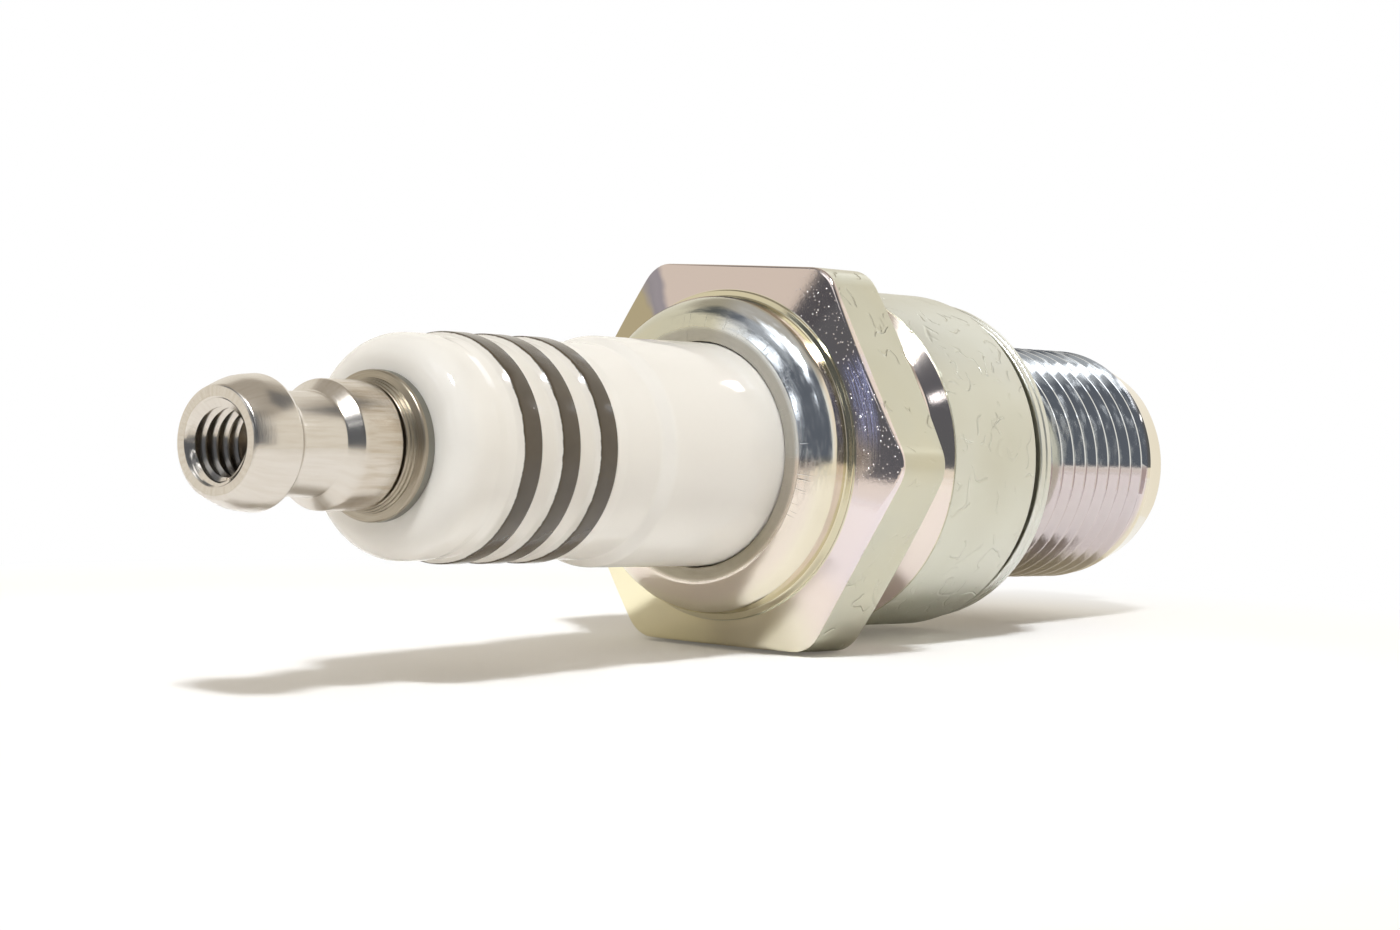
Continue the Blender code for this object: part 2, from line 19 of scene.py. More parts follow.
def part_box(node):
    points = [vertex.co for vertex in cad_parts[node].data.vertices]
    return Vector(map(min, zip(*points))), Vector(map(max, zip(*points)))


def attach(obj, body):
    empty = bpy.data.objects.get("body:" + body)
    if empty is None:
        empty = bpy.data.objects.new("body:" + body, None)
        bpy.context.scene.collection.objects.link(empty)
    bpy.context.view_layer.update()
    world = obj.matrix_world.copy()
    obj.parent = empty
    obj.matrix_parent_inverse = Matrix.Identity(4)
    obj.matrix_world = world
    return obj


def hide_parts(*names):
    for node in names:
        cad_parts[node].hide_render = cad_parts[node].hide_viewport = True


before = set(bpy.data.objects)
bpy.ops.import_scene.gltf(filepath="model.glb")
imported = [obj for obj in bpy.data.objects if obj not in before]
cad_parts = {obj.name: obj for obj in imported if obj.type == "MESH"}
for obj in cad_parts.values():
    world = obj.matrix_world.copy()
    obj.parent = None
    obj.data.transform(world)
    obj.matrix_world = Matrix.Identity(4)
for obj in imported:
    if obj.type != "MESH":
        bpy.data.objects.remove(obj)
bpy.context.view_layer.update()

# %% [markdown]
# ## Stations and radii
#
# Sizes below are in millimetres, as on a drawing. Station zero is where the flats of the hexagon
# begin; the terminal is on the negative side. The frame says where that is: the collar's lip is
# the shell's first point, and the axis runs through the middle of the insulator. The sizes could
# be typed in again here, but reading them from the frame keeps the two models in step.

# %% Measure the frame
MM = 0.001
COLLAR_LENGTH = 2.7
shell_low, shell_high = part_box("metal_shell")
nut_low, nut_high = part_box("terminal_nut")
gasket_low, gasket_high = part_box("gasket")
insulator_low, insulator_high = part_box("insulator")
axis_height = (insulator_low.z + insulator_high.z) / 2
hex_front = shell_low.x + COLLAR_LENGTH * MM


def station(x):
    """Station in millimetres of a place along the frame's X axis."""
    return (x - hex_front) / MM


LIP = station(shell_low.x)
SHELL_END = station(shell_high.x)
HEAD = station(insulator_low.x)
NOSE_END = station(insulator_high.x)
NUT_MOUTH = station(nut_low.x)
NUT_FOOT = station(nut_high.x)
GASKET_FRONT = station(gasket_low.x)
GASKET_REAR = station(gasket_high.x)
GASKET_RADIUS = (gasket_high.z - gasket_low.z) / 2 / MM
HEX_FLAT = (shell_high.z - shell_low.z) / 2 / MM
print("lip %.2f  shell end %.2f  nut %.2f to %.2f" % (LIP, SHELL_END, NUT_MOUTH, NUT_FOOT))

# %% [markdown]
# ## The camera
#
# The photograph was taken from in front of the terminal with a long lens, almost level with the
# plug. The plug leans back on its seat flange there, so in the plug's own frame the camera is
# rolled by about three degrees. A Track To constraint would aim it, but not roll it, so the camera
# gets a matrix of three directions and a place.

# %% Camera
CAMERA_PLACE = (-151.3, -120.0, 3.9)
CAMERA_YAW = math.radians(51.17)
CAMERA_DIP = math.radians(1.34)
CAMERA_ROLL = math.radians(2.93)
FOCAL_PIXELS = 3532.0
PHOTO_WIDTH = 1400.0


def axis_point(place):
    """A point given in stations and millimetres from the axis, in the frame's metres."""
    return Vector((hex_front + place[0] * MM, place[1] * MM, axis_height + place[2] * MM))


def added(name, data):
    """An object with a mesh or a lens, put into the scene."""
    thing = bpy.data.objects.new(name, data)
    bpy.context.scene.collection.objects.link(thing)
    return thing


def aimed_camera():
    """The camera of the photograph, in the plug's own frame."""
    ahead = Vector((
        math.sin(CAMERA_YAW) * math.cos(CAMERA_DIP),
        math.cos(CAMERA_YAW) * math.cos(CAMERA_DIP),
        -math.sin(CAMERA_DIP),
    ))
    level = Vector((math.cos(CAMERA_YAW), -math.sin(CAMERA_YAW), 0.0))
    rise = level.cross(ahead)
    right = level * math.cos(CAMERA_ROLL) + rise * math.sin(CAMERA_ROLL)
    up = rise * math.cos(CAMERA_ROLL) - level * math.sin(CAMERA_ROLL)
    lens = bpy.data.cameras.new("photo_camera")
    lens.sensor_width = 36.0
    lens.lens = FOCAL_PIXELS / PHOTO_WIDTH * lens.sensor_width
    lens.clip_start = 0.005
    camera = added("photo_camera", lens)
    turn = Matrix((right, up, -ahead)).transposed().to_4x4()
    camera.matrix_world = Matrix.Translation(axis_point(CAMERA_PLACE)) @ turn
    bpy.context.scene.camera = camera
    return camera


camera = aimed_camera()
bpy.context.scene.view_settings.view_transform = "Standard"
print("lens %.1f mm" % camera.data.lens)

# %% [markdown]
# ## Outlines and skins
#
# A turned piece could be made with the Screw modifier. Here the points are laid out one by one
# instead, one outline for each angle round the axis, because then the outline may change with the
# angle: the hexagon and the threads come out of the same few lines as the plain round parts.

# %% Outlines with rounded corners
ARC_STEP = math.radians(12)


def rounded(corners):
    """Outline through corners of (station, radius), with an arc where a fillet is given as well."""
    outline = []
    for i, (along, out, *fillet) in enumerate(corners):
        if not fillet:
            outline.append((along, out))
            continue
        here = Vector((along, out))
        back = (Vector(corners[i - 1][:2]) - here).normalized()
        ahead = (Vector(corners[(i + 1) % len(corners)][:2]) - here).normalized()
        half = back.angle(ahead) / 2
        centre = here + (back + ahead).normalized() * fillet[0] / math.sin(half)
        spoke = here + back * fillet[0] / math.tan(half) - centre
        sweep = (math.pi - 2 * half) * (1 if back.cross(ahead) < 0 else -1)
        steps = max(2, math.ceil(abs(sweep) / ARC_STEP))
        for k in range(steps + 1):
            point = centre + Matrix.Rotation(sweep * k / steps, 2) @ spoke
            outline.append((point.x, point.y))
    return outline


step = rounded([(0, 0), (0, 1, 0.2), (1, 1, 0.2), (1, 0)])
print("a step with two rounded corners takes", len(step), "points")


# %% Closing a mesh
MERGE = 2e-7
SHARP = math.radians(33)


def closed(name, mesh):
    """Welds a mesh's doubled points, turns its faces out and makes an object of it."""
    shape = bmesh.new()
    shape.from_mesh(mesh)
    bmesh.ops.remove_doubles(shape, verts=shape.verts, dist=MERGE)
    bmesh.ops.dissolve_degenerate(shape, dist=MERGE, edges=shape.edges)
    bmesh.ops.recalc_face_normals(shape, faces=shape.faces)
    shape.to_mesh(mesh)
    shape.free()
    mesh.shade_smooth()
    mesh.set_sharp_from_angle(angle=SHARP)
    print(name, len(mesh.polygons), "faces")
    return added(name, mesh)


# %% Skins round the axis
def skin(name, columns, helix=None):
    """Closed mesh from one outline for each angle; columns[angle][row] is (station, radius).

    helix is (first row, last row, rows in one turn) of a thread, whose rows climb by one turn where
    the last angle meets the first.
    """
    angles, rows = columns.shape[:2]
    turn = np.arange(angles) * 2 * math.pi / angles
    points = np.empty((angles, rows, 3))
    points[..., 0] = hex_front + columns[..., 0] * MM
    points[..., 1] = columns[..., 1] * MM * np.cos(turn)[:, None]
    points[..., 2] = axis_height + columns[..., 1] * MM * np.sin(turn)[:, None]
    climb = np.arange(rows)
    if helix:
        first, last, lead = helix
        climb[first:last + 1] = np.minimum(climb[first:last + 1] + lead, last)
    faces = []
    for a in range(angles):
        b = (a + 1) % angles
        partner = climb if b == 0 else np.arange(rows)
        for j in range(rows):
            k = (j + 1) % rows
            face = [a * rows + j, a * rows + k, b * rows + partner[k], b * rows + partner[j]]
            if face[2] == face[3]:
                face.pop()
            faces.append(tuple(map(int, face)))
    mesh = bpy.data.meshes.new(name)
    mesh.from_pydata(points.reshape(-1, 3).tolist(), [], faces)
    return closed(name, mesh)


def turned(name, outline, angles=128):
    """Skin of a piece that has the same outline at every angle."""
    return skin(name, np.tile(np.array(outline), (angles, 1, 1)))


# %% [markdown]
# ## Threads
#
# Threads are rolled between dies. The Screw modifier could wind one, but its ends would need cutting.
# Here a thread is an outline that climbs by one pitch in every turn: each angle gets the same rows,
# pushed along the axis by its share of the pitch and held between two stations, where the rows that
# don't fit fold up into a ring and are welded. Rows on the crest and root edges keep crests crisp.

# %% One thread, angle by angle
def thread_rows(angles, start, end, pitch, datum, high, low, high_share, low_share):
    """Stations and radii for each angle, and the rows in one turn; datum is on a high land's middle."""
    flank = (1 - high_share - low_share) / 2
    steps = [0, high_share / 2, high_share / 2, flank / 2]
    steps += [flank / 2, low_share / 2, low_share / 2, flank / 2]
    middle = (high + low) / 2
    heights = [high, high, high, middle, low, low, low, middle]
    origin = datum - high_share / 2 * pitch
    first = math.floor((start - origin) / pitch) - 1
    last = math.ceil((end - origin) / pitch)
    turns = np.arange(first, last + 1)
    along = (turns[:, None] + np.cumsum(steps)[None, :]).reshape(-1)
    share = np.arange(angles)[:, None] / angles
    where = origin + (along[None, :] + share) * pitch
    radius = np.tile(np.array(heights), (angles, len(turns)))
    return np.clip(where, start, end), radius, len(steps)


# %% [markdown]
# ## Metal shell
#
# One forging: a collar whose lip is crimped over the insulator, the hexagon with coned faces and
# rounded corners, a hollow groove, the seat flange, a neck for the gasket and the M14 thread. The
# inside is bored in two steps, with a ledge between them that carries the insulator. It could be
# cut from cylinders and a prism with Booleans. Here it is one skin, row by row from the lip to the
# bore, because that stays closed and puts a small fillet exactly where an edge catches the light.

# %% Hexagon
HEX_LENGTH = 4.5
HEX_ROUND = 1.8
HEX_SLOPE = 0.235
SECTOR = math.pi / 3


def hex_radius(turn):
    """Distance from the axis to the hexagon's outline, with its corners rounded."""
    off = abs((turn + SECTOR / 2) % SECTOR - SECTOR / 2)
    centre = (HEX_FLAT - HEX_ROUND) / math.cos(SECTOR / 2)
    reach = math.atan2(HEX_ROUND * math.sin(SECTOR / 2), centre + HEX_ROUND * math.cos(SECTOR / 2))
    if off < reach:
        return centre * math.cos(off) + math.sqrt(HEX_ROUND ** 2 - (centre * math.sin(off)) ** 2)
    return HEX_FLAT / math.cos(SECTOR / 2 - off)


def hex_face(radius):
    """How far the coned faces stand back at a radius, measured from the middle of a flat."""
    return (radius - HEX_FLAT) * HEX_SLOPE


print("hexagon %.2f mm over the flats, %.2f mm over the corners" % (2 * HEX_FLAT, 2 * hex_radius(0.0)))

# %% Hexagon rows
HEX_EDGE = 0.16
HEX_KEEP = 0.24
BEAD_RADIUS = 9.0
BEAD_KEEP = 0.08
FLANGE_RADIUS = 9.55


def hex_rows(turn):
    """Front face, edge, flat, edge and rear face; rows near the edges keep the shading flat."""
    out = hex_radius(turn)
    front = hex_face(out)
    return rounded([
        (hex_face(BEAD_RADIUS), BEAD_RADIUS),
        (hex_face(BEAD_RADIUS + BEAD_KEEP), BEAD_RADIUS + BEAD_KEEP),
        (hex_face(out - HEX_KEEP), out - HEX_KEEP),
        (front, out, HEX_EDGE),
        (front + HEX_KEEP, out),
        (HEX_LENGTH - front - HEX_KEEP, out),
        (HEX_LENGTH - front, out, HEX_EDGE),
        (HEX_LENGTH - hex_face(FLANGE_RADIUS), FLANGE_RADIUS),
    ])[1:-1]


print("rows on the hexagon:", len(hex_rows(0.0)))

# %% Collar
COLLAR_RADIUS = 8.65
COLLAR_ROLL = (1.45, 2.15)
LIP_BORE = 6.12
LIP_DEPTH = 0.9
LIP_FLAT = 7.04
LIP_TURN = 0.5375


def collar_rows():
    """The crimped lip, the polished roll behind it and the small bead at the hexagon's foot."""
    bead = hex_face(BEAD_RADIUS)
    length, rise = COLLAR_ROLL
    roll = []
    for turn in np.linspace(LIP_TURN, math.pi / 2, 11):
        along = LIP + length * (1 - math.cos(turn))
        roll.append((along, COLLAR_RADIUS - rise * (1 - math.sin(turn))))
    return rounded([
        (LIP + LIP_DEPTH, LIP_BORE),
        (LIP, LIP_BORE, 0.06),
        (LIP, LIP_FLAT, 0.3),
        *roll,
        (bead - 0.21, COLLAR_RADIUS, 0.10),
        (bead - 0.14, BEAD_RADIUS, 0.06),
        (bead, BEAD_RADIUS, 0.04),
        (bead + 0.2, BEAD_RADIUS + 0.9),
    ])[:-1]


print("rows on the collar:", len(collar_rows()))

# %% Groove, flange and neck
GROOVE_RADIUS = 8.6
FLANGE_FRONT = 8.3
FLANGE_REAR = 16.3
NECK_RADIUS = 6.5
THREAD_START = 18.45


def groove_rows():
    """The hollow behind the hexagon and the sloping wall that rises from it to the flange."""
    start = HEX_LENGTH - hex_face(FLANGE_RADIUS)
    return rounded([
        (start, FLANGE_RADIUS - 0.08),
        (start + 0.75, GROOVE_RADIUS, 0.5),
        (FLANGE_FRONT - 0.79, GROOVE_RADIUS, 0.3),
        (FLANGE_FRONT - 0.06, FLANGE_RADIUS - 0.12),
        (FLANGE_FRONT, FLANGE_RADIUS - 0.05),
    ])


def flange_rows():
    """The seat flange and the neck, from the groove's last row to the start of the thread."""
    return rounded([
        groove_rows()[-1],
        (FLANGE_FRONT, FLANGE_RADIUS, 0.05),
        (FLANGE_REAR, FLANGE_RADIUS, 0.2),
        (FLANGE_REAR, NECK_RADIUS, 0.15),
        (THREAD_START, NECK_RADIUS),
    ])[1:]


print("rows on the groove and flange:", len(groove_rows()) - 1 + len(flange_rows()))

# %% Shank
THREAD_RUN_IN = 0.45
THREAD_CREST = 0.16
CREST_LAND = 0.12
ROOT_SHARE = 0.2
THREAD_RADIUS = 6.95
THREAD_ROOT = 6.2
THREAD_PITCH = 1.25
END_CONE = 2.6
CONE_RADIUS = 6.9
END_RADIUS = 6.15
END_CHAMFER = 0.1
SHELL_ANGLES = 240


def end_cone(where):
    """Radius of the plain cone at the firing end, with a small chamfer on its edge."""
    slope = (CONE_RADIUS - END_RADIUS) / END_CONE
    cone = CONE_RADIUS - (where - SHELL_END + END_CONE) * slope
    return cone - np.maximum(where - SHELL_END + END_CHAMFER, 0)


def shank_rows():
    """The thread, which rises from the neck and dies out on the end cone, and its rows in one turn."""
    where, radius, lead = thread_rows(
        SHELL_ANGLES, THREAD_START, SHELL_END, THREAD_PITCH, THREAD_START + THREAD_CREST / 2,
        THREAD_RADIUS, THREAD_ROOT, CREST_LAND / THREAD_PITCH, ROOT_SHARE)
    run_in = np.clip((where - THREAD_START) / THREAD_RUN_IN, 0, 1)
    run_out = np.clip((where - SHELL_END + END_CONE + 0.3) / 0.5, 0, 1)
    radius = NECK_RADIUS + (radius - NECK_RADIUS) * run_in
    return where, radius + (end_cone(where) - radius) * run_out, lead


print("turns of the thread: %.1f" % ((SHELL_END - END_CONE - THREAD_START) / THREAD_PITCH))

# %% Bore and shell
SHELL_BORE = 7.5
SHANK_BORE = 4.6
LEDGE = 13.1
LEDGE_SLOPE = 0.45


def bore_rows():
    """From the firing end back to the lip: the shank's bore, the ledge and the wide bore."""
    return rounded([
        (SHELL_END, END_RADIUS - END_CHAMFER),
        (SHELL_END, SHANK_BORE, 0.15),
        (LEDGE + (SHELL_BORE - SHANK_BORE) * LEDGE_SLOPE, SHANK_BORE, 0.2),
        (LEDGE, SHELL_BORE),
        (LIP + LIP_DEPTH, SHELL_BORE),
    ])


def shell_columns():
    """The shell's outline at every angle, and where its thread lies among the rows."""
    front = collar_rows()
    middle = groove_rows()[:-1] + flange_rows()
    bore = bore_rows()
    where, radius, lead = shank_rows()
    columns = []
    for a in range(SHELL_ANGLES):
        hexagon = hex_rows(2 * math.pi * a / SHELL_ANGLES)
        thread = list(zip(where[a], radius[a]))
        columns.append(front + hexagon + middle + thread + bore)
    first = len(front) + len(hexagon) + len(middle)
    return np.array(columns), (first, first + where.shape[1] - 1, lead)


shell = skin("shell", *shell_columns())

# %% [markdown]
# ## Insulator
#
# Glazed alumina: a rounded head under the terminal, three low ribs with a dark fired ring on each,
# a slightly thicker body that goes into the collar, a flange held by the packing, and a slim nose
# round the centre electrode. A spun curve would do; the same skin as the shell's keeps the ribs'
# small fillets under control.

# %% Insulator
HEAD_FRONT = HEAD - 0.4
BODY_RADIUS = 6.05
HEAD_RADIUS = 5.63
HEAD_ROUND = 1.45
RIB_FIRST = 3.8
RIB_PITCH = 2.86
RIB_WIDTH = 1.17
RIB_HEIGHT = 0.17
RIB_COUNT = 3
VALLEY_DEPTH = 0.09
COLUMN_BORE = 2.2
NOSE_BORE = 1.4
NOSE_TIP = 2.65
NOSE_ROOT = 4.05
NOSE_STEP = 11.0
BODY_STEP = LIP - 9.6
INNER_FLANGE = 7.3
INNER_FLANGE_FRONT = 4.75
WASHER = 0.9
rib_fronts = [HEAD + RIB_FIRST + k * RIB_PITCH for k in range(RIB_COUNT)]


def rib_corners():
    """Rounded crests with hollow valleys between them, as a wheel grinds them."""
    valley = HEAD_RADIUS - VALLEY_DEPTH
    crest = HEAD_RADIUS + RIB_HEIGHT
    corners = [(rib_fronts[0] - 1.7, HEAD_RADIUS, 0.9), (rib_fronts[0] - 1.1, valley, 0.7)]
    for front in rib_fronts:
        rear = front + RIB_WIDTH
        corners += [
            (front - 0.3, valley, 0.25),
            (front, crest, 0.16),
            (rear, crest, 0.16),
            (rear + 0.3, valley, 0.25),
        ]
    return corners + [(rib_fronts[-1] + RIB_WIDTH + 1.0, HEAD_RADIUS, 0.9)]


def insulator_outline():
    """From the bore at the terminal, over the outside, to the bore of the nose."""
    shoulder = LEDGE + (SHELL_BORE - INNER_FLANGE) * LEDGE_SLOPE - WASHER
    nose_root = LEDGE + (SHELL_BORE - NOSE_ROOT) * LEDGE_SLOPE - WASHER
    return rounded([
        (HEAD_FRONT, COLUMN_BORE),
        (HEAD_FRONT, HEAD_RADIUS, HEAD_ROUND),
        *rib_corners(),
        (BODY_STEP, HEAD_RADIUS, 0.6),
        (BODY_STEP + 0.7, BODY_RADIUS, 0.6),
        (INNER_FLANGE_FRONT, BODY_RADIUS, 0.1),
        (INNER_FLANGE_FRONT, INNER_FLANGE, 0.4),
        (shoulder, INNER_FLANGE, 0.1),
        (nose_root, NOSE_ROOT, 0.3),
        (NOSE_END, NOSE_TIP, 0.5),
        (NOSE_END, NOSE_BORE, 0.1),
        (NOSE_STEP, NOSE_BORE),
        (NOSE_STEP, COLUMN_BORE),
    ])


body = turned("glazed_body", insulator_outline(), 160)

# %% [markdown]
# ## Terminal stud and nut
#
# The stud's threaded post carries the nut that the cap clips over, and its rings and flange sit on
# the insulator's head. Both threads are M4 and could be left plain, because little of them shows.
# They are wound here because the nut travels along the post and bares it. The nut's thread is a
# little wider and in step with the post's, so the two never touch after whole turns.

# %% Stud
POST_PITCH = 0.7
POST_DATUM = -37.42
POST_TIP = -35.2
POST_CREST = 1.9
POST_ROOT = 1.52
STUD_COLLAR = -28.5
STUD_FLANGE = 3.73
SHAFT_RADIUS = 2.0
SHAFT_DEPTH = 13.8
TERMINAL_ANGLES = 96
# Distance behind the collar's front, radius and fillet of the turned steps.
STUD_RINGS = (
    (0.0, 3.16, 0.08), (0.2, 3.16, 0.03), (0.24, 3.24, 0.03), (0.4, 3.24, 0.03),
    (0.44, 3.32, 0.03), (0.56, 3.32, 0.03), (0.64, STUD_FLANGE, 0.12),
)


def wound(where, radius, lead, rest):
    """A thread's rows and the outline that closes them, at every angle, and where the thread lies."""
    columns = [list(zip(*rows)) + rest for rows in zip(where, radius)]
    return np.array(columns), (0, where.shape[1] - 1, lead)


def stud_columns():
    """Post, rings, flange and the shaft that goes down into the insulator."""
    where, radius, lead = thread_rows(
        TERMINAL_ANGLES, POST_TIP + 0.05, STUD_COLLAR - 0.05, POST_PITCH, POST_DATUM,
        POST_CREST, POST_ROOT, 0.2, 0.3)
    taper = 1.45 + (where - POST_TIP) * 1.2
    radius = np.minimum(radius, taper)
    radius[:, -1] = POST_ROOT
    foot = rounded([
        (STUD_COLLAR - 0.05, POST_ROOT),
        (STUD_COLLAR, POST_ROOT),
        *[(STUD_COLLAR + behind, out, fillet) for behind, out, fillet in STUD_RINGS],
        (HEAD_FRONT - 0.02, STUD_FLANGE, 0.12),
        (HEAD_FRONT - 0.02, SHAFT_RADIUS),
        (HEAD + SHAFT_DEPTH - 0.3, SHAFT_RADIUS),
        (HEAD + SHAFT_DEPTH, SHAFT_RADIUS - 0.3),
        (HEAD + SHAFT_DEPTH, 0.0),
        (POST_TIP, 0.0),
        (POST_TIP, 1.4),
    ])
    return wound(where, radius, lead, foot)


stud = skin("stud", *stud_columns())

# %% Nut
NUT_MINOR = 1.64
NUT_MAJOR = 2.04
NUT_RADIUS = 3.18
NUT_MOUTH_RADIUS = 2.66
# Distance behind the mouth, step from the full radius and fillet, from the waist to the barrel.
NUT_STEPS = (
    (6.72, 0.0, 0.2), (6.1, -0.62, 0.3), (3.1, -0.72, 0.9), (2.55, 0.11, 0.35), (1.3, 0.0, 2.5),
)


def nut_columns():
    """Thread with a countersink at both ends, and the outside with its waist and barrel."""
    where, radius, lead = thread_rows(
        TERMINAL_ANGLES, NUT_MOUTH + 0.08, NUT_FOOT - 0.15, POST_PITCH, POST_DATUM,
        NUT_MAJOR, NUT_MINOR, 0.16, 0.14)
    mouth = NUT_MAJOR - (where - NUT_MOUTH - 0.08) * 3.0
    foot = NUT_MAJOR - (NUT_FOOT - 0.15 - where) * 1.0
    radius = np.maximum(radius, np.maximum(mouth, foot))
    outside = rounded([
        (NUT_FOOT - 0.15, NUT_MAJOR),
        (NUT_FOOT, 2.2),
        (NUT_FOOT, NUT_RADIUS, 0.15),
        *[(NUT_MOUTH + behind, NUT_RADIUS + out, fillet) for behind, out, fillet in NUT_STEPS],
        (NUT_MOUTH, NUT_MOUTH_RADIUS, 0.25),
        (NUT_MOUTH, 2.12, 0.06),
        (NUT_MOUTH + 0.08, NUT_MAJOR),
    ])
    return wound(where, radius, lead, outside)


nut = skin("nut", *nut_columns())

# %% [markdown]
# ## Crush gasket
#
# A ring of thin sheet, folded so that it can be squeezed once between the flange and the head. The
# fold could be swept as a real sheet, but only its outside shows: two round rolls with a crease
# between them, and a dark slit where the ring stands off the flange. So one closed outline is enough.

# %% Gasket
GASKET_BORE = 6.75
GASKET_ROLL = 0.45
GASKET_SLIT = 0.8
CREASE_BACK = 0.7
CREASE_DEPTH = 0.11
CREASE_HALF = 0.05
FRONT_STEP = 0.04


def gasket_outline():
    """The two rolls and the crease, round the bore that clears the neck."""
    front = GASKET_FRONT + GASKET_SLIT
    crease = GASKET_REAR - CREASE_BACK
    return rounded([
        (front, GASKET_BORE, 0.3),
        (front, GASKET_RADIUS - FRONT_STEP, 0.15),
        (crease - CREASE_HALF, GASKET_RADIUS - FRONT_STEP, 0.1),
        (crease, GASKET_RADIUS - CREASE_DEPTH, 0.03),
        (crease + CREASE_HALF, GASKET_RADIUS, 0.1),
        (GASKET_REAR, GASKET_RADIUS, 0.4),
        (GASKET_REAR, GASKET_BORE, GASKET_ROLL),
    ])


washer = turned("gasket_ring", gasket_outline(), 160)

# %% [markdown]
# ## Firing end
#
# The centre electrode is a drawn jacket with a blind hole for its copper core, tapered at the end,
# with a fine wire welded on it. The strap is a length of flat wire, welded to the shell's end, bent
# over the gap and trimmed to a narrower tip. A curve with a bevel could sweep the strap, but not
# trim it, so its side view is drawn, given its width and bevelled, as flat wire has rolled edges.

# %% Electrodes
CORE_BORE = 0.67
CORE_END = 2.6
JACKET_RADIUS = 1.2
JACKET_HEAD = 2.0
JACKET_TIP = 0.5


def electrode_outline():
    """Blind hole, head, jacket and tapered end, all between the ends of the solid."""
    low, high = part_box("center_electrode")
    head, end = station(low.x), station(high.x)
    return rounded([
        (end - CORE_END, 0.0),
        (end - CORE_END, CORE_BORE),
        (head, CORE_BORE),
        (head, JACKET_HEAD, 0.15),
        (head + 1.6, JACKET_HEAD, 0.1),
        (head + 2.4, JACKET_RADIUS, 0.3),
        (end - 0.75, JACKET_RADIUS, 0.2),
        (end, JACKET_TIP, 0.1),
        (end, 0.0),
    ])


def tip_outline():
    """A short length of fine wire with a softened edge."""
    low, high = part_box("electrode_tip")
    front, end = station(low.x), station(high.x)
    radius = (high.z - low.z) / 2 / MM
    return rounded([(front, 0.0), (front, radius), (end, radius, 0.04), (end, 0.0)])


electrode = turned("electrode_jacket", electrode_outline(), 64)
fine_wire = turned("fine_wire", tip_outline(), 48)

# %% Strap
STRAP_THICKNESS = 1.3
STRAP_BEND = 0.7
STRAP_TAPER = 2.4
STRAP_TIP_SHARE = 0.58
STRAP_EDGE = 0.16


def strap_outline(foot, back, outer, free_end):
    """The bent wire seen from the side, in stations and millimetres from the axis."""
    inner = outer - STRAP_THICKNESS
    over = back - STRAP_THICKNESS
    return rounded([
        (foot, inner),
        (over, inner, STRAP_BEND),
        (over, free_end + STRAP_TAPER),
        (over, free_end),
        (back, free_end),
        (back, free_end + STRAP_TAPER),
        (back, outer, STRAP_BEND + STRAP_THICKNESS),
        (foot, outer),
    ])


def bent_strap():
    """The outline given its width, narrowed at the free end, with every sharp edge bevelled."""
    low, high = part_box("ground_electrode")
    free_end = low.y / MM
    outline = strap_outline(station(low.x), station(high.x), high.y / MM, free_end)
    half = high.z - axis_height
    shape = bmesh.new()
    rim = [shape.verts.new((hex_front + x * MM, y * MM, -half)) for x, y in outline]
    lifted = bmesh.ops.extrude_face_region(shape, geom=[shape.faces.new(rim)])["geom"]
    far = [part for part in lifted if isinstance(part, bmesh.types.BMVert)]
    bmesh.ops.translate(shape, verts=far, vec=(0, 0, 2 * half))
    for vertex in shape.verts:
        if vertex.co.y < free_end * MM + MERGE:
            vertex.co.z *= STRAP_TIP_SHARE
        vertex.co.z += axis_height
    bmesh.ops.recalc_face_normals(shape, faces=shape.faces)
    corners = [edge for edge in shape.edges if edge.calc_face_angle(0.0) > SHARP]
    bmesh.ops.bevel(
        shape, geom=corners, offset=STRAP_EDGE * MM, segments=3, profile=0.5, affect="EDGES")
    mesh = bpy.data.meshes.new("ground_strap")
    shape.to_mesh(mesh)
    shape.free()
    return closed("ground_strap", mesh)


strap = bent_strap()

# %% [markdown]
# ## Riding on the bodies
#
# A dressed piece moves with its body: the plug, the nut that unscrews or the gasket that turns. So
# it is parented to an empty for that body, and the solid it stands in for is hidden.

# %% Riding
for piece, node, slot in (
    (shell, "metal_shell", "passivated_zinc"),
    (body, "insulator", "white_glaze"),
    (stud, "terminal_stud", "plain_steel"),
    (electrode, "center_electrode", "nickel_alloy"),
    (fine_wire, "electrode_tip", "hard_wire"),
    (strap, "ground_electrode", "nickel_alloy"),
):
    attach(piece, "plug")
    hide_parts(node)
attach(nut, "nut")
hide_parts("terminal_nut")
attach(washer, "gasket")
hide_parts("gasket")
print("moving pieces:", nut.name, "and", washer.name)

# %% [markdown]
# ## Shader maths as Python
#
# A material is a graph of nodes. Writing that graph as sums and products is easier to read than
# wiring it by hand, so a small class wraps a socket and turns each operator into a Math node.

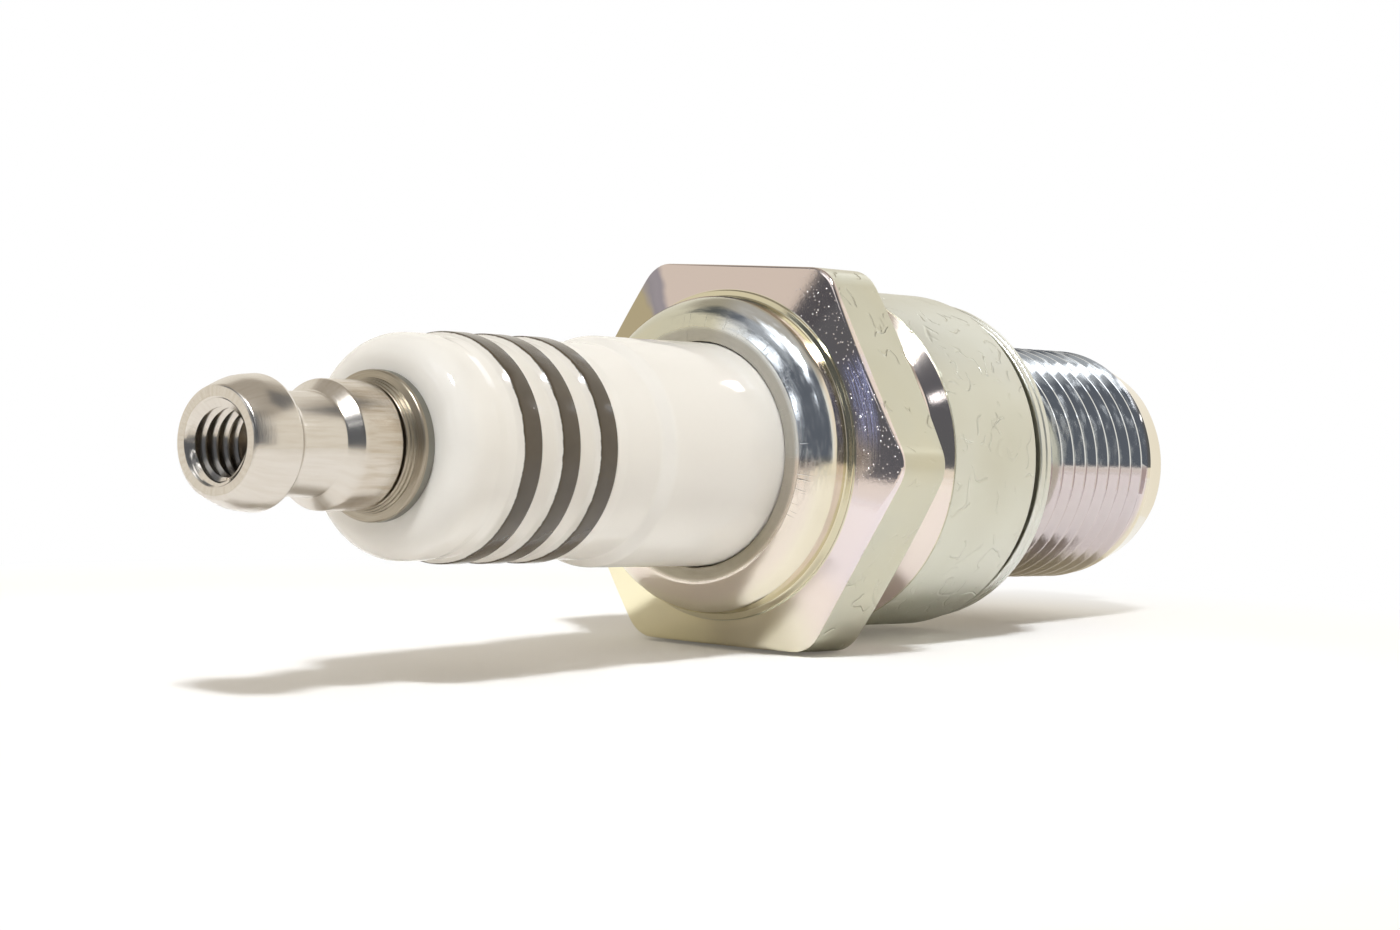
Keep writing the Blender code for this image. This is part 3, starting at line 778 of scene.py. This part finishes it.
# %% Sockets in expressions
class Wire:
    """A socket in a node tree that can be used in Python expressions."""

    def __init__(self, tree, socket):
        self.tree = tree
        self.socket = socket

    def node(self, kind, settings=None, sockets=None, output=0):
        """Adds a shader node: its settings first, then the values or links of its sockets."""
        node = self.tree.nodes.new("ShaderNode" + kind)
        for name, value in (settings or {}).items():
            if name == "stops":
                ramp = node.color_ramp
                while len(ramp.elements) < len(value):
                    ramp.elements.new(0.5)
                for element, (place, colour) in zip(ramp.elements, value):
                    element.position = place
                    element.color = (*colour, 1.0)
            else:
                setattr(node, name, value)
        for key, value in (sockets or {}).items():
            self.feed(node.inputs[key], value)
        return Wire(self.tree, node.outputs[output] if node.outputs else None)

    def feed(self, socket, value):
        """Links a wire to a socket, or sets the socket to a plain value."""
        if isinstance(value, Wire):
            self.tree.links.new(value.socket, socket)
        else:
            socket.default_value = value

    def other(self, name):
        """Another output of the same node."""
        return Wire(self.tree, self.socket.node.outputs[name])

    def math(self, operation, *values):
        """Adds a Math node."""
        return self.node("Math", {"operation": operation}, dict(enumerate(values)))

    def __add__(self, other):
        return self.math("ADD", self, other)

    def __sub__(self, other):
        return self.math("SUBTRACT", self, other)

    def __rsub__(self, other):
        return self.math("SUBTRACT", other, self)

    def __mul__(self, other):
        return self.math("MULTIPLY", self, other)

    def __truediv__(self, other):
        return self.math("DIVIDE", self, other)

    def __rtruediv__(self, other):
        return self.math("DIVIDE", other, self)

    def __pow__(self, other):
        return self.math("POWER", self, other)

    def __rpow__(self, other):
        return self.math("POWER", other, self)

    __radd__ = __add__
    __rmul__ = __mul__

    def between(self, low, high):
        """0 below low, 1 above high, smooth between; low may be the larger one."""
        return self.node(
            "MapRange", {"interpolation_type": "SMOOTHSTEP"},
            {"Value": self, "From Min": low, "From Max": high})

    def band(self, low, high, soft):
        """1 between two values, fading over soft on both sides."""
        return self.between(low - soft, low) * self.between(high + soft, high)

    def blend(self, first, second):
        """Colour mix, this wire being the share of the second."""
        return self.node(
            "Mix", {"data_type": "RGBA"},
            {"Factor": self, 6: first, 7: second}, 2)

    def dot(self, direction):
        """Share of a vector or colour along a direction."""
        return self.node(
            "VectorMath", {"operation": "DOT_PRODUCT"},
            {0: self, 1: tuple(direction)}, 1)


def rgb(red, green, blue):
    return (red, green, blue, 1.0)


# %% [markdown]
# ## Materials that know where they are
#
# Every finish here depends on the place on the plug: how far along, how far out, which side. The
# mesh sits in the frame's own metres, so object coordinates give all three. Painted images on
# unwrapped faces could do it too, but a formula has no seams and stays sharp at any distance.

# %% A material's starting point
GREY = (0.2126, 0.7152, 0.0722)


class Finish:
    """A Principled material with the wires that the finishes below are made of."""

    def __init__(self, name):
        self.material = bpy.data.materials.new(name)
        self.material.use_nodes = True
        self.shader = self.material.node_tree.nodes["Principled BSDF"]
        start = Wire(self.material.node_tree, None)
        self.place = start.node("TexCoord", output=3)
        split = start.node("SeparateXYZ", None, {0: self.place})
        self.along = (split - hex_front) / MM
        self.across = split.other("Y") / MM
        self.height = (split.other("Z") - axis_height) / MM
        self.radius = (self.across * self.across + self.height * self.height) ** 0.5
        self.angle = self.height.math("ARCTAN2", self.height, self.across)

    def facing(self, degrees, near, far):
        """1 on the side of the axis that faces an angle, between two cosines from it."""
        turn = math.radians(degrees)
        share = (self.across * math.cos(turn) + self.height * math.sin(turn)) / self.radius
        return share.between(near, far)

    def pits(self, scale, size, share):
        """Sparse round dots: the middles of some of the cells of a Voronoi pattern."""
        cells = self.place.node("TexVoronoi", None, {"Vector": self.place, "Scale": scale})
        chosen = cells.other("Color").dot(GREY)
        return cells.between(size, size * 0.4) * chosen.between(1 - share, 1.001 - share)

    def scratches(self, scale, width, patches):
        """Short curved lines: contours of a noise, shown in patches of another."""
        field = self.noise(scale, 1.0)
        line = field.math("ABSOLUTE", field - 0.5).between(width, 0.0)
        return line * self.noise(patches, 1.0).between(0.52, 0.58)

    def noise(self, scale, detail, roughness=0.5, place=None):
        """Cloudy noise between 0 and 1."""
        return self.place.node(
            "TexNoise", None,
            {"Vector": place or self.place, "Scale": scale, "Detail": detail, "Roughness": roughness})

    def lathe(self, turns, lengthwise, detail=3.0):
        """Noise in coordinates that run round the axis, as the marks of a lathe do."""
        return self.noise(1.0, detail, place=self.place.node(
            "CombineXYZ", None,
            {0: self.along * lengthwise, 1: self.angle * turns, 2: self.radius * lengthwise}))

    def bump(self, height, distance, below=None):
        """Normals of a relief, laid over another one."""
        sockets = {"Height": height, "Distance": distance, "Strength": 1.0}
        if below:
            sockets["Normal"] = below
        return self.place.node("Bump", None, sockets)

    def set(self, **sockets):
        """Feeds the shader's own sockets."""
        for name, value in sockets.items():
            self.place.feed(self.shader.inputs[name.replace("_", " ")], value)
        return self.material


def dress(piece, material):
    """Gives a piece its material."""
    piece.data.materials.clear()
    piece.data.materials.append(material)
    print(piece.name, "wears", material.name, "of", len(material.node_tree.nodes), "shader nodes")


# %% [markdown]
# ## Passivated zinc
#
# The shell is zinc plated and dipped in a passivating bath, which leaves a film thin enough to
# colour by interference: straw, gold, pink, lilac and blue as it gets thicker. So the material
# first works out one number, the film's thickness at each place, and a ramp turns it to colour.
# The shader's own thin film could tint it, but a ramp is easier to steer. The film follows the
# flow of the bath, so it differs from region to region more than at random. Some of its colours
# are painted shade and reflection: the shadowed table under the shank and lip, and the lit table on
# the hexagon's lower left.

# %% Film colours
FILM = (
    (0.00, (0.76, 0.78, 0.79)),
    (0.15, (0.69, 0.685, 0.595)),
    (0.27, (0.585, 0.57, 0.46)),
    (0.38, (0.66, 0.60, 0.42)),
    (0.48, (0.79, 0.73, 0.60)),
    (0.57, (0.79, 0.69, 0.64)),
    (0.68, (0.78, 0.70, 0.73)),
    (0.80, (0.50, 0.50, 0.74)),
    (0.92, (0.58, 0.68, 0.72)),
)
print("film colours:", len(FILM))

# %% Regions of the shell
def shell_regions(f):
    """Shares of the shell's surfaces, from the station and the radius."""
    collar = f.along.between(-0.53, -0.59)
    return SimpleNamespace(
        roll=collar,
        lip=collar * f.radius.between(7.0, 6.7),
        bead=f.along.band(-0.55, -0.39, 0.03),
        face=f.along.band(-0.38, 0.45, 0.06) * f.radius.between(9.0, 9.1),
        flats=f.along.band(0.45, HEX_LENGTH - 0.2, 0.15),
        groove=f.along.band(HEX_LENGTH + 0.12, FLANGE_FRONT - 0.03, 0.06),
        flange=f.along.band(FLANGE_FRONT, FLANGE_REAR - 0.1, 0.05),
        thread=f.along.between(FLANGE_REAR, FLANGE_REAR + 0.1),
        end=f.along.between(SHELL_END - END_CONE - 0.15, SHELL_END - END_CONE + 0.05),
    )


# %% Film on the shell
def zinc_film(f, region):
    """Thickness of the film: regions first, then the drift of the bath."""
    film = 0.27 + (f.noise(150.0, 2.0) - 0.5) * 0.16
    roll = 0.20 + f.radius.between(8.5, 7.6) * 0.07 - f.facing(60, 0.5, 0.85) * 0.25
    film = film + region.roll * roll
    film = film + region.bead * 0.09 - region.flange * 0.11 + region.groove * 0.28
    film = film + region.thread * 0.38 - region.end * 0.18
    hexagon = 0.30 + f.facing(203, 0.93, 0.99) * 0.08 - f.facing(285, 0.55, 0.80) * 0.15
    return film + region.face * hexagon


def face_patches(f, face, tint):
    """Rose, olive and dusk patches by angle on the hexagon's face, and a straw patch at its lower
    left that is painted reflection.
    """
    drift = f.angle + (f.noise(500.0, 2.0) - 0.5) * 0.12
    for share, colour in (
        (drift.band(1.08, 2.2, 0.1) * 0.8, rgb(0.60, 0.51, 0.475)),
        # Painted reflection: straw lightens the face's lower left.
        (f.facing(300, 0.82, 0.97) * 0.95, rgb(0.90, 0.84, 0.60)),
        (drift.band(0.68, 0.92, 0.09) * 0.85, rgb(0.37, 0.32, 0.18)),
        (drift.band(0.97, 1.03, 0.06) * 0.85, rgb(0.24, 0.23, 0.29)),
    ):
        tint = (share * face).blend(tint, colour)
    return tint


def zinc_tint(f, region):
    """Colour of the film, silvery where the upper side of the collar and shank is bare of it.
    Painted shade darkens the shank's underside and the lip's lower half, where they mirror the
    shadowed table.
    """
    film = zinc_film(f, region)
    tint = film.node("ValToRGB", {"stops": FILM}, {0: film})
    upper = f.facing(245, 0.44, 0.36)
    bare = region.roll * f.facing(145, 0.62, 0.80) * f.radius.between(8.64, 8.5)
    shank = region.thread * (1.0 - region.end)
    tint = (shank * 0.8).blend(tint, rgb(0.57, 0.51, 0.51))
    # Painted shade: brown on the shank's underside, for the shadowed table that it mirrors.
    tint = (shank * f.facing(270, 0.70, 0.90) * 0.9).blend(tint, rgb(0.54, 0.49, 0.38))
    tint = (upper * (bare + shank)).blend(tint, rgb(0.76, 0.785, 0.80))
    # Painted shade: the lip darkens towards the bottom, for the shadowed table that it mirrors.
    lip_tint_painted_shade = f.facing(270, 0.2, 0.8).blend(rgb(0.47, 0.44, 0.375), rgb(0.38, 0.345, 0.25))
    tint = (region.lip * 0.8).blend(tint, lip_tint_painted_shade)
    return face_patches(f, region.face, tint)


# %% Marks on the shell
def face_marks(f, region):
    """Turning marks, the violet bloom, and pits on the hexagon's face whose pale colour is a
    painted glint.
    """
    turning = f.lathe(2.5, 20.0)
    cloud = f.noise(900.0, 3.0)
    bloom = f.facing(160, 0.955, 0.995) * (f.radius + cloud * 0.4).band(9.6, 10.4, 0.3)
    violet = bloom * region.face * (0.4 + turning.between(0.35, 0.6) * 0.6)
    painted_glint_specks = f.pits(3100.0, 0.18, 0.5) + f.pits(5200.0, 0.22, 0.5) * 0.6
    return turning, violet, painted_glint_specks * f.facing(150, 0.80, 0.88) * region.face


def dents_and_ticks(f, region):
    """Pits and scratches on the flange and flats, and the crimping tool's ticks on the lip."""
    sides = region.flange + region.flats * 0.8
    pits = f.pits(420.0, 0.06, 0.22)
    scratches = f.scratches(330.0, 0.022, 520.0) + f.scratches(610.0, 0.024, 700.0)
    ticks = f.lathe(60.0, 0.5, 2.0).between(0.62, 0.72)
    ticks = ticks * f.radius.between(8.0, 7.2) * region.roll * (0.5 + region.lip)
    return (pits + scratches * 0.62) * sides, ticks


def zinc_roughness(f, region):
    """Bright on the face, collar and thread, satin on the flange, flats and lip."""
    mottle = f.lathe(10.0, 5.0).between(0.35, 0.7)
    glints = f.lathe(5.0, 3.0, 2.0).between(0.42, 0.7) * f.facing(110, 0.2, 0.7)
    rough = 0.07 + region.lip * 0.34 - region.face * 0.02 + region.flange * 0.34
    rough = rough + region.flats * 0.21 - region.thread * 0.02
    rough = rough + region.roll * (0.02 + mottle * 0.13)
    return rough + glints * region.thread * (1.0 - region.end) * 0.26


# %% Passivated zinc
def zinc_shell():
    """The shell's finish: film, face patches, marks and gloss, each in its own region; some of the
    film's colour is painted shade and reflection.
    """
    f = Finish("passivated_zinc")
    region = shell_regions(f)
    turning, violet, painted_glint_specks = face_marks(f, region)
    dents, ticks = dents_and_ticks(f, region)
    tint = violet.blend(zinc_tint(f, region), rgb(0.70, 0.70, 1.0))
    # Painted glints: the pits on the face's right side are paler than the film.
    tint = painted_glint_specks.blend(tint, rgb(0.82, 0.83, 0.86))
    rough = zinc_roughness(f, region) + violet * 0.17 + painted_glint_specks * 0.3 + turning * 0.03
    bumps = f.bump(turning * (1.0 - region.face * 0.6 - region.thread), 0.0000015)
    bumps = f.bump(ticks + f.noise(5200.0, 2.0) * 0.1, 0.000008, bumps)
    bumps = f.bump(painted_glint_specks * 0.4 - dents, 0.00006, bumps)
    return f.set(Base_Color=tint, Metallic=1.0, Roughness=rough, Normal=bumps)


def zinc_sheet():
    """The gasket's finish: a thinner film on drawn sheet."""
    f = Finish("gasket_sheet")
    drift = f.noise(300.0, 2.0)
    tint = drift.node("ValToRGB", {"stops": FILM}, {0: 0.04 + drift * 0.16})
    drawn = f.lathe(3.0, 16.0)
    return f.set(
        Base_Color=tint, Metallic=1.0, Roughness=0.28 + drawn * 0.10,
        Normal=f.bump(drawn, 0.000004))


dress(shell, zinc_shell())
dress(washer, zinc_sheet())

# %% [markdown]
# ## Glaze
#
# White glaze over alumina is a pale body under a clear, slightly wavy gloss. The rings on the ribs
# are a brown enamel fired with it, ragged at the edges and dotted with painted glints. They could be
# separate bands of mesh; a mask by station gives them their ragged edge for free. The white between
# the rings is darkened with painted shade.

# %% Glaze
def glaze():
    f = Finish("white_glaze")
    wobble = f.noise(1300.0, 4.0, 0.65) * 0.11 - 0.055
    rings = None
    for front in rib_fronts:
        ring = (f.along + wobble).band(front - 0.05, front + RIB_WIDTH + 0.05, 0.05)
        rings = ring if rings is None else rings.math("MAXIMUM", rings, ring)
    cloud = f.noise(700.0, 3.0)
    brown = cloud.blend(rgb(0.050, 0.036, 0.020), rgb(0.085, 0.064, 0.040))
    # Painted glints: light dots on the brown rings.
    painted_glint_specks = f.pits(1900.0, 0.20, 0.10) * rings
    warm = f.noise(45.0, 2.0).blend(rgb(0.815, 0.785, 0.725), rgb(0.79, 0.75, 0.685))
    dust = f.pits(420.0, 0.035, 0.10)
    warm = (dust * 0.5).blend(warm, rgb(0.35, 0.32, 0.26))
    # Painted shade: the white over the ribbed zone is darkened, for the shade in its hollows.
    valleys = f.along.band(rib_fronts[0] - 0.2, rib_fronts[-1] + RIB_WIDTH + 0.2, 0.3)
    warm = (valleys * 0.6).blend(warm, rgb(0.68, 0.64, 0.57))
    bare = f.along.between(6.0, 6.5)
    white = bare.blend(warm, rgb(0.80, 0.79, 0.77))
    tint = painted_glint_specks.blend(rings.blend(white, brown), rgb(0.55, 0.52, 0.47))
    waves = f.noise(300.0, 2.0)
    ridges = f.noise(1300.0, 2.0) * rings
    bumps = f.bump(waves + ridges * 0.5, 0.00003)
    return f.set(
        Base_Color=tint, Roughness=0.07 + bare * 0.4 + rings * 0.10, Normal=bumps, IOR=1.55)


dress(body, glaze())

# %% [markdown]
# ## Nickel, steel and the pieces inside
#
# The nut is nickel plated and polished, the stud is plain plated steel. Anisotropic gloss could show
# how they were turned; noise stretched round the axis does it with simpler inputs. The pieces inside
# show only in a cut-away, but each has its own finish.

# %% Nickel and plain steel
def nickel():
    """Polished plate with turning marks, and a brown stain at the nut's foot."""
    f = Finish("polished_nickel")
    marks = f.lathe(2.0, 22.0)
    streaks = f.lathe(14.0, 0.5, 2.0)
    foot = f.along.between(NUT_MOUTH + 6.4, NUT_MOUTH + 7.2)
    stain = streaks.between(0.35, 0.75) * (0.2 + foot * 0.4) + foot * 0.35
    tint = stain.blend(rgb(0.68, 0.635, 0.575), rgb(0.50, 0.425, 0.33))
    inside = f.radius.between(2.25, 2.15)
    rough = 0.15 + marks * 0.06 + streaks * 0.06 - inside * 0.05
    return f.set(Base_Color=tint, Metallic=1.0, Roughness=rough, Normal=f.bump(marks, 0.000003))


def stud_steel():
    """Dull grey flange, bronze rings and a brighter post."""
    f = Finish("plain_steel")
    marks = f.lathe(2.0, 30.0)
    cloud = f.noise(900.0, 3.0)
    rings = f.along.band(STUD_COLLAR - 0.1, STUD_COLLAR + 0.86, 0.03)
    post = f.along.between(STUD_COLLAR, STUD_COLLAR - 0.1)
    grey = cloud.blend(rgb(0.29, 0.285, 0.25), rgb(0.255, 0.25, 0.22))
    bronze = marks.blend(rgb(0.25, 0.215, 0.16), rgb(0.50, 0.44, 0.35))
    tint = post.blend(rings.blend(grey, bronze), rgb(0.52, 0.49, 0.44))
    return f.set(
        Base_Color=tint, Metallic=1.0, Roughness=0.46 - rings * 0.14 - post * 0.2,
        Normal=f.bump(marks, 0.000004))


dress(nut, nickel())
dress(stud, stud_steel())

# %% Plain metals and powders
def plain_metal(name, light, dark, rough):
    """Bare metal, cloudy between two colours, with drawing marks."""
    f = Finish(name)
    marks = f.lathe(2.0, 14.0)
    cloud = f.noise(900.0, 3.0)
    return f.set(
        Base_Color=cloud.blend(light, dark), Metallic=1.0, Roughness=rough + marks * 0.1,
        Normal=f.bump(marks, 0.000006))


def powder(name, light, dark, rough):
    """Pressed or fired powder, grainy between two colours."""
    f = Finish(name)
    cloud = f.noise(2500.0, 4.0)
    return f.set(
        Base_Color=cloud.blend(light, dark), Metallic=0.0, Roughness=rough + cloud * 0.1,
        Normal=f.bump(cloud, 0.00003))


alloy = plain_metal("nickel_alloy", rgb(0.56, 0.54, 0.50), rgb(0.46, 0.44, 0.41), 0.3)
wire = plain_metal("packing_wire", rgb(0.56, 0.55, 0.53), rgb(0.46, 0.45, 0.43), 0.35)
copper = plain_metal("copper", rgb(0.74, 0.42, 0.27), rgb(0.60, 0.30, 0.18), 0.3)
tip = plain_metal("hard_wire", rgb(0.70, 0.70, 0.72), rgb(0.60, 0.60, 0.62), 0.2)
talc = powder("pressed_talc", rgb(0.80, 0.79, 0.76), rgb(0.70, 0.68, 0.64), 0.8)
glass = powder("conductive_glass", rgb(0.36, 0.22, 0.15), rgb(0.22, 0.13, 0.09), 0.4)
carbon = powder("resistor_body", rgb(0.05, 0.05, 0.05), rgb(0.03, 0.03, 0.03), 0.6)
for node, material in (
    ("upper_packing_ring", wire), ("lower_packing_ring", wire), ("seat_washer", wire),
    ("talc_packing", talc), ("upper_glass_seal", glass), ("lower_glass_seal", glass),
    ("resistor", carbon), ("copper_core", copper),
):
    dress(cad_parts[node], material)
for piece, material in ((electrode, alloy), (strap, alloy), (fine_wire, tip)):
    dress(piece, material)

# %% [markdown]
# ## The room
#
# Polished metal shows the room more than its own colour. In the photograph that room is a white
# table and backdrop, a dim space on the camera's side, and a few soft lamps. Area lamps would do,
# but the world can hold it all by direction: what a ray meets that leaves the plug that way. Each
# reflection can then be put where the photograph has it.

# %% Panels in the room
LEAN = math.radians(2.6)
UP = Vector((-math.sin(LEAN), 0.0, math.cos(LEAN)))
# Direction, half width, half height, soft edge and brightness of each lamp.
LAMPS = {
    "overhead panel": ((-0.543, -0.067, 0.84), 0.21, 0.14, 0.05, 1.8),
    "soft fill": ((-0.70, 0.13, 0.70), 0.18, 0.12, 0.12, 0.45),
    "thread glint": ((-0.67, 0.05, 0.74), 0.05, 0.035, 0.03, 3.0),
    "main lamp": ((-0.385, -0.33, 0.86), 0.055, 0.055, 0.02, 144.0),
    "left panel": ((-0.855, 0.27, 0.455), 0.11, 0.06, 0.02, 2.2),
    "low spot": ((-0.968, 0.07, 0.235), 0.03, 0.04, 0.015, 4.0),
    "right spot": ((-0.60, -0.60, 0.53), 0.03, 0.03, 0.015, 2.5),
    "rear strip": ((0.84, 0.14, 0.52), 0.20, 0.045, 0.03, 2.0),
    "rear spot": ((0.80, -0.38, 0.45), 0.05, 0.03, 0.02, 2.5),
}
# Direction, half width, half height, soft edge and colour of two dark openings.
OPENINGS = (
    ((-0.50, 0.50, 0.70), 0.20, 0.12, 0.09, rgb(0.15, 0.16, 0.18)),
    ((0.507, -0.236, 0.829), 0.22, 0.16, 0.08, rgb(0.20, 0.20, 0.205)),
)


def softbox(ray, aim, half_width, half_height, soft):
    """Share of a soft-edged rectangle that a ray meets."""
    aim = Vector(aim).normalized()
    side = aim.cross(UP).normalized()
    top = side.cross(aim)
    facing = ray.dot(aim)
    ahead = facing.math("MAXIMUM", facing, 0.001)
    u = ray.dot(side) / ahead
    v = ray.dot(top) / ahead
    return u.band(-half_width, half_width, soft) * v.band(-half_height, half_height, soft)


print("lamps:", ", ".join(LAMPS))

# %% World
ROOM_TURN = math.radians(212.5)
ROOM = Vector((math.cos(ROOM_TURN), math.sin(ROOM_TURN), 0.0))
DIM_ROOM = rgb(0.125, 0.135, 0.155)
# What dull surfaces get from the walls and the ceiling, and what mirrors show of them.
WALLS = (rgb(0.69, 0.60, 0.46), rgb(0.97, 0.93, 0.85))
CEILING = (rgb(0.46, 0.415, 0.345), rgb(0.50, 0.46, 0.40))


def room_colour(ray, mirrored):
    """Walls, ceiling, openings and the dim space behind the camera; the table's white below."""
    rise = ray.dot(UP)
    toward = ray.dot(ROOM) / (1.001 - rise * rise) ** 0.5
    walls = mirrored.blend(*WALLS)
    colour = rise.between(0.60, 0.75).blend(walls, mirrored.blend(*CEILING))
    for *opening, dark in OPENINGS:
        colour = softbox(ray, *opening).blend(colour, dark)
    room = toward.between(0.50, 0.53) * rise.between(0.88, 0.80)
    colour = room.blend(colour, DIM_ROOM)
    return rise.between(-0.008, -0.018).blend(colour, walls)


def empty_tree(owner):
    """The start of an empty node tree."""
    owner.use_nodes = True
    owner.node_tree.nodes.clear()
    return Wire(owner.node_tree, None)


def studio_world():
    """The room with its lamps, and plain white where the camera looks past the plug."""
    world = bpy.data.worlds.new("studio")
    bpy.context.scene.world = world
    start = empty_tree(world)
    ray = start.node("TexCoord", output=0)
    path = start.node("LightPath")
    colour = room_colour(ray, path.other("Is Glossy Ray"))
    for *lamp, bright in LAMPS.values():
        colour = softbox(ray, *lamp).blend(colour, rgb(bright * 0.97, bright, bright * 1.04))
    colour = path.other("Is Camera Ray").blend(colour, rgb(1.0, 1.0, 1.0))
    background = start.node("Background", None, {"Color": colour})
    start.node("OutputWorld", None, {"Surface": background})
    return world


world = studio_world()
print("world of", len(world.node_tree.nodes), "shader nodes")

# %% [markdown]
# ## The table
#
# The plug lies on the rear lower edge of its hexagon and leans back toward the seat flange. The
# table is a disc through that edge, tilted as the photograph's shadow shows. A shadow catcher could
# stand in for it, but the metal mirrors the table too, so it is a real white surface. Toward its
# rim it glows plain white, so that no edge shows against the backdrop.

# %% Floor
FLOOR_CENTRE = (-34.0, -6.0)
FLOOR_REACH = (92.0, 80.0)
FLOOR_GAP = 0.02


def table_top():
    """A disc that touches the hexagon's rear lower edge, as a part of the stage."""
    shape = bmesh.new()
    bmesh.ops.create_circle(shape, cap_ends=True, segments=96, radius=1.0)
    for vertex in shape.verts:
        along = FLOOR_CENTRE[0] + vertex.co.x * FLOOR_REACH[0]
        height = -HEX_FLAT - FLOOR_GAP + (along - HEX_LENGTH) * math.tan(LEAN)
        vertex.co = axis_point((along, FLOOR_CENTRE[1] + vertex.co.y * FLOOR_REACH[1], height))
    mesh = bpy.data.meshes.new("table_top")
    shape.to_mesh(mesh)
    shape.free()
    top = added("table_top", mesh)
    return top


floor = table_top()
print("table %.0f by %.0f mm" % (floor.dimensions.x / MM, floor.dimensions.y / MM))

# %% White table
TABLE_HAZE = 0.14


def table_finish():
    """Diffuse white with a little warm haze, which fades to a plain white glow at the rim."""
    material = bpy.data.materials.new("white_table")
    start = empty_tree(material)
    diffuse = start.node("BsdfDiffuse", None, {"Color": rgb(0.95, 0.945, 0.94)})
    path = start.node("LightPath")
    direct = path.other("Is Camera Ray")
    seen = direct + path.other("Is Glossy Ray") + path.other("Is Transmission Ray")
    place = start.node("TexCoord", output=3)
    split = start.node("SeparateXYZ", None, {0: place})
    u = (split - axis_point((FLOOR_CENTRE[0], 0, 0)).x) / (FLOOR_REACH[0] * MM)
    v = (split.other("Y") - FLOOR_CENTRE[1] * MM) / (FLOOR_REACH[1] * MM)
    rim = ((u * u + v * v) ** 0.5).between(0.55, 0.95)
    share = rim.math("MAXIMUM", seen.math("MINIMUM", seen, 1.0) * rim, direct * TABLE_HAZE)
    haze = rim.blend(rgb(1.0, 0.92, 0.78), rgb(1.0, 1.0, 1.0))
    glow = start.node("Emission", None, {"Color": haze})
    both = start.node("MixShader", None, {0: share, 1: diffuse, 2: glow})
    start.node("OutputMaterial", None, {"Surface": both})
    return material


dress(floor, table_finish())
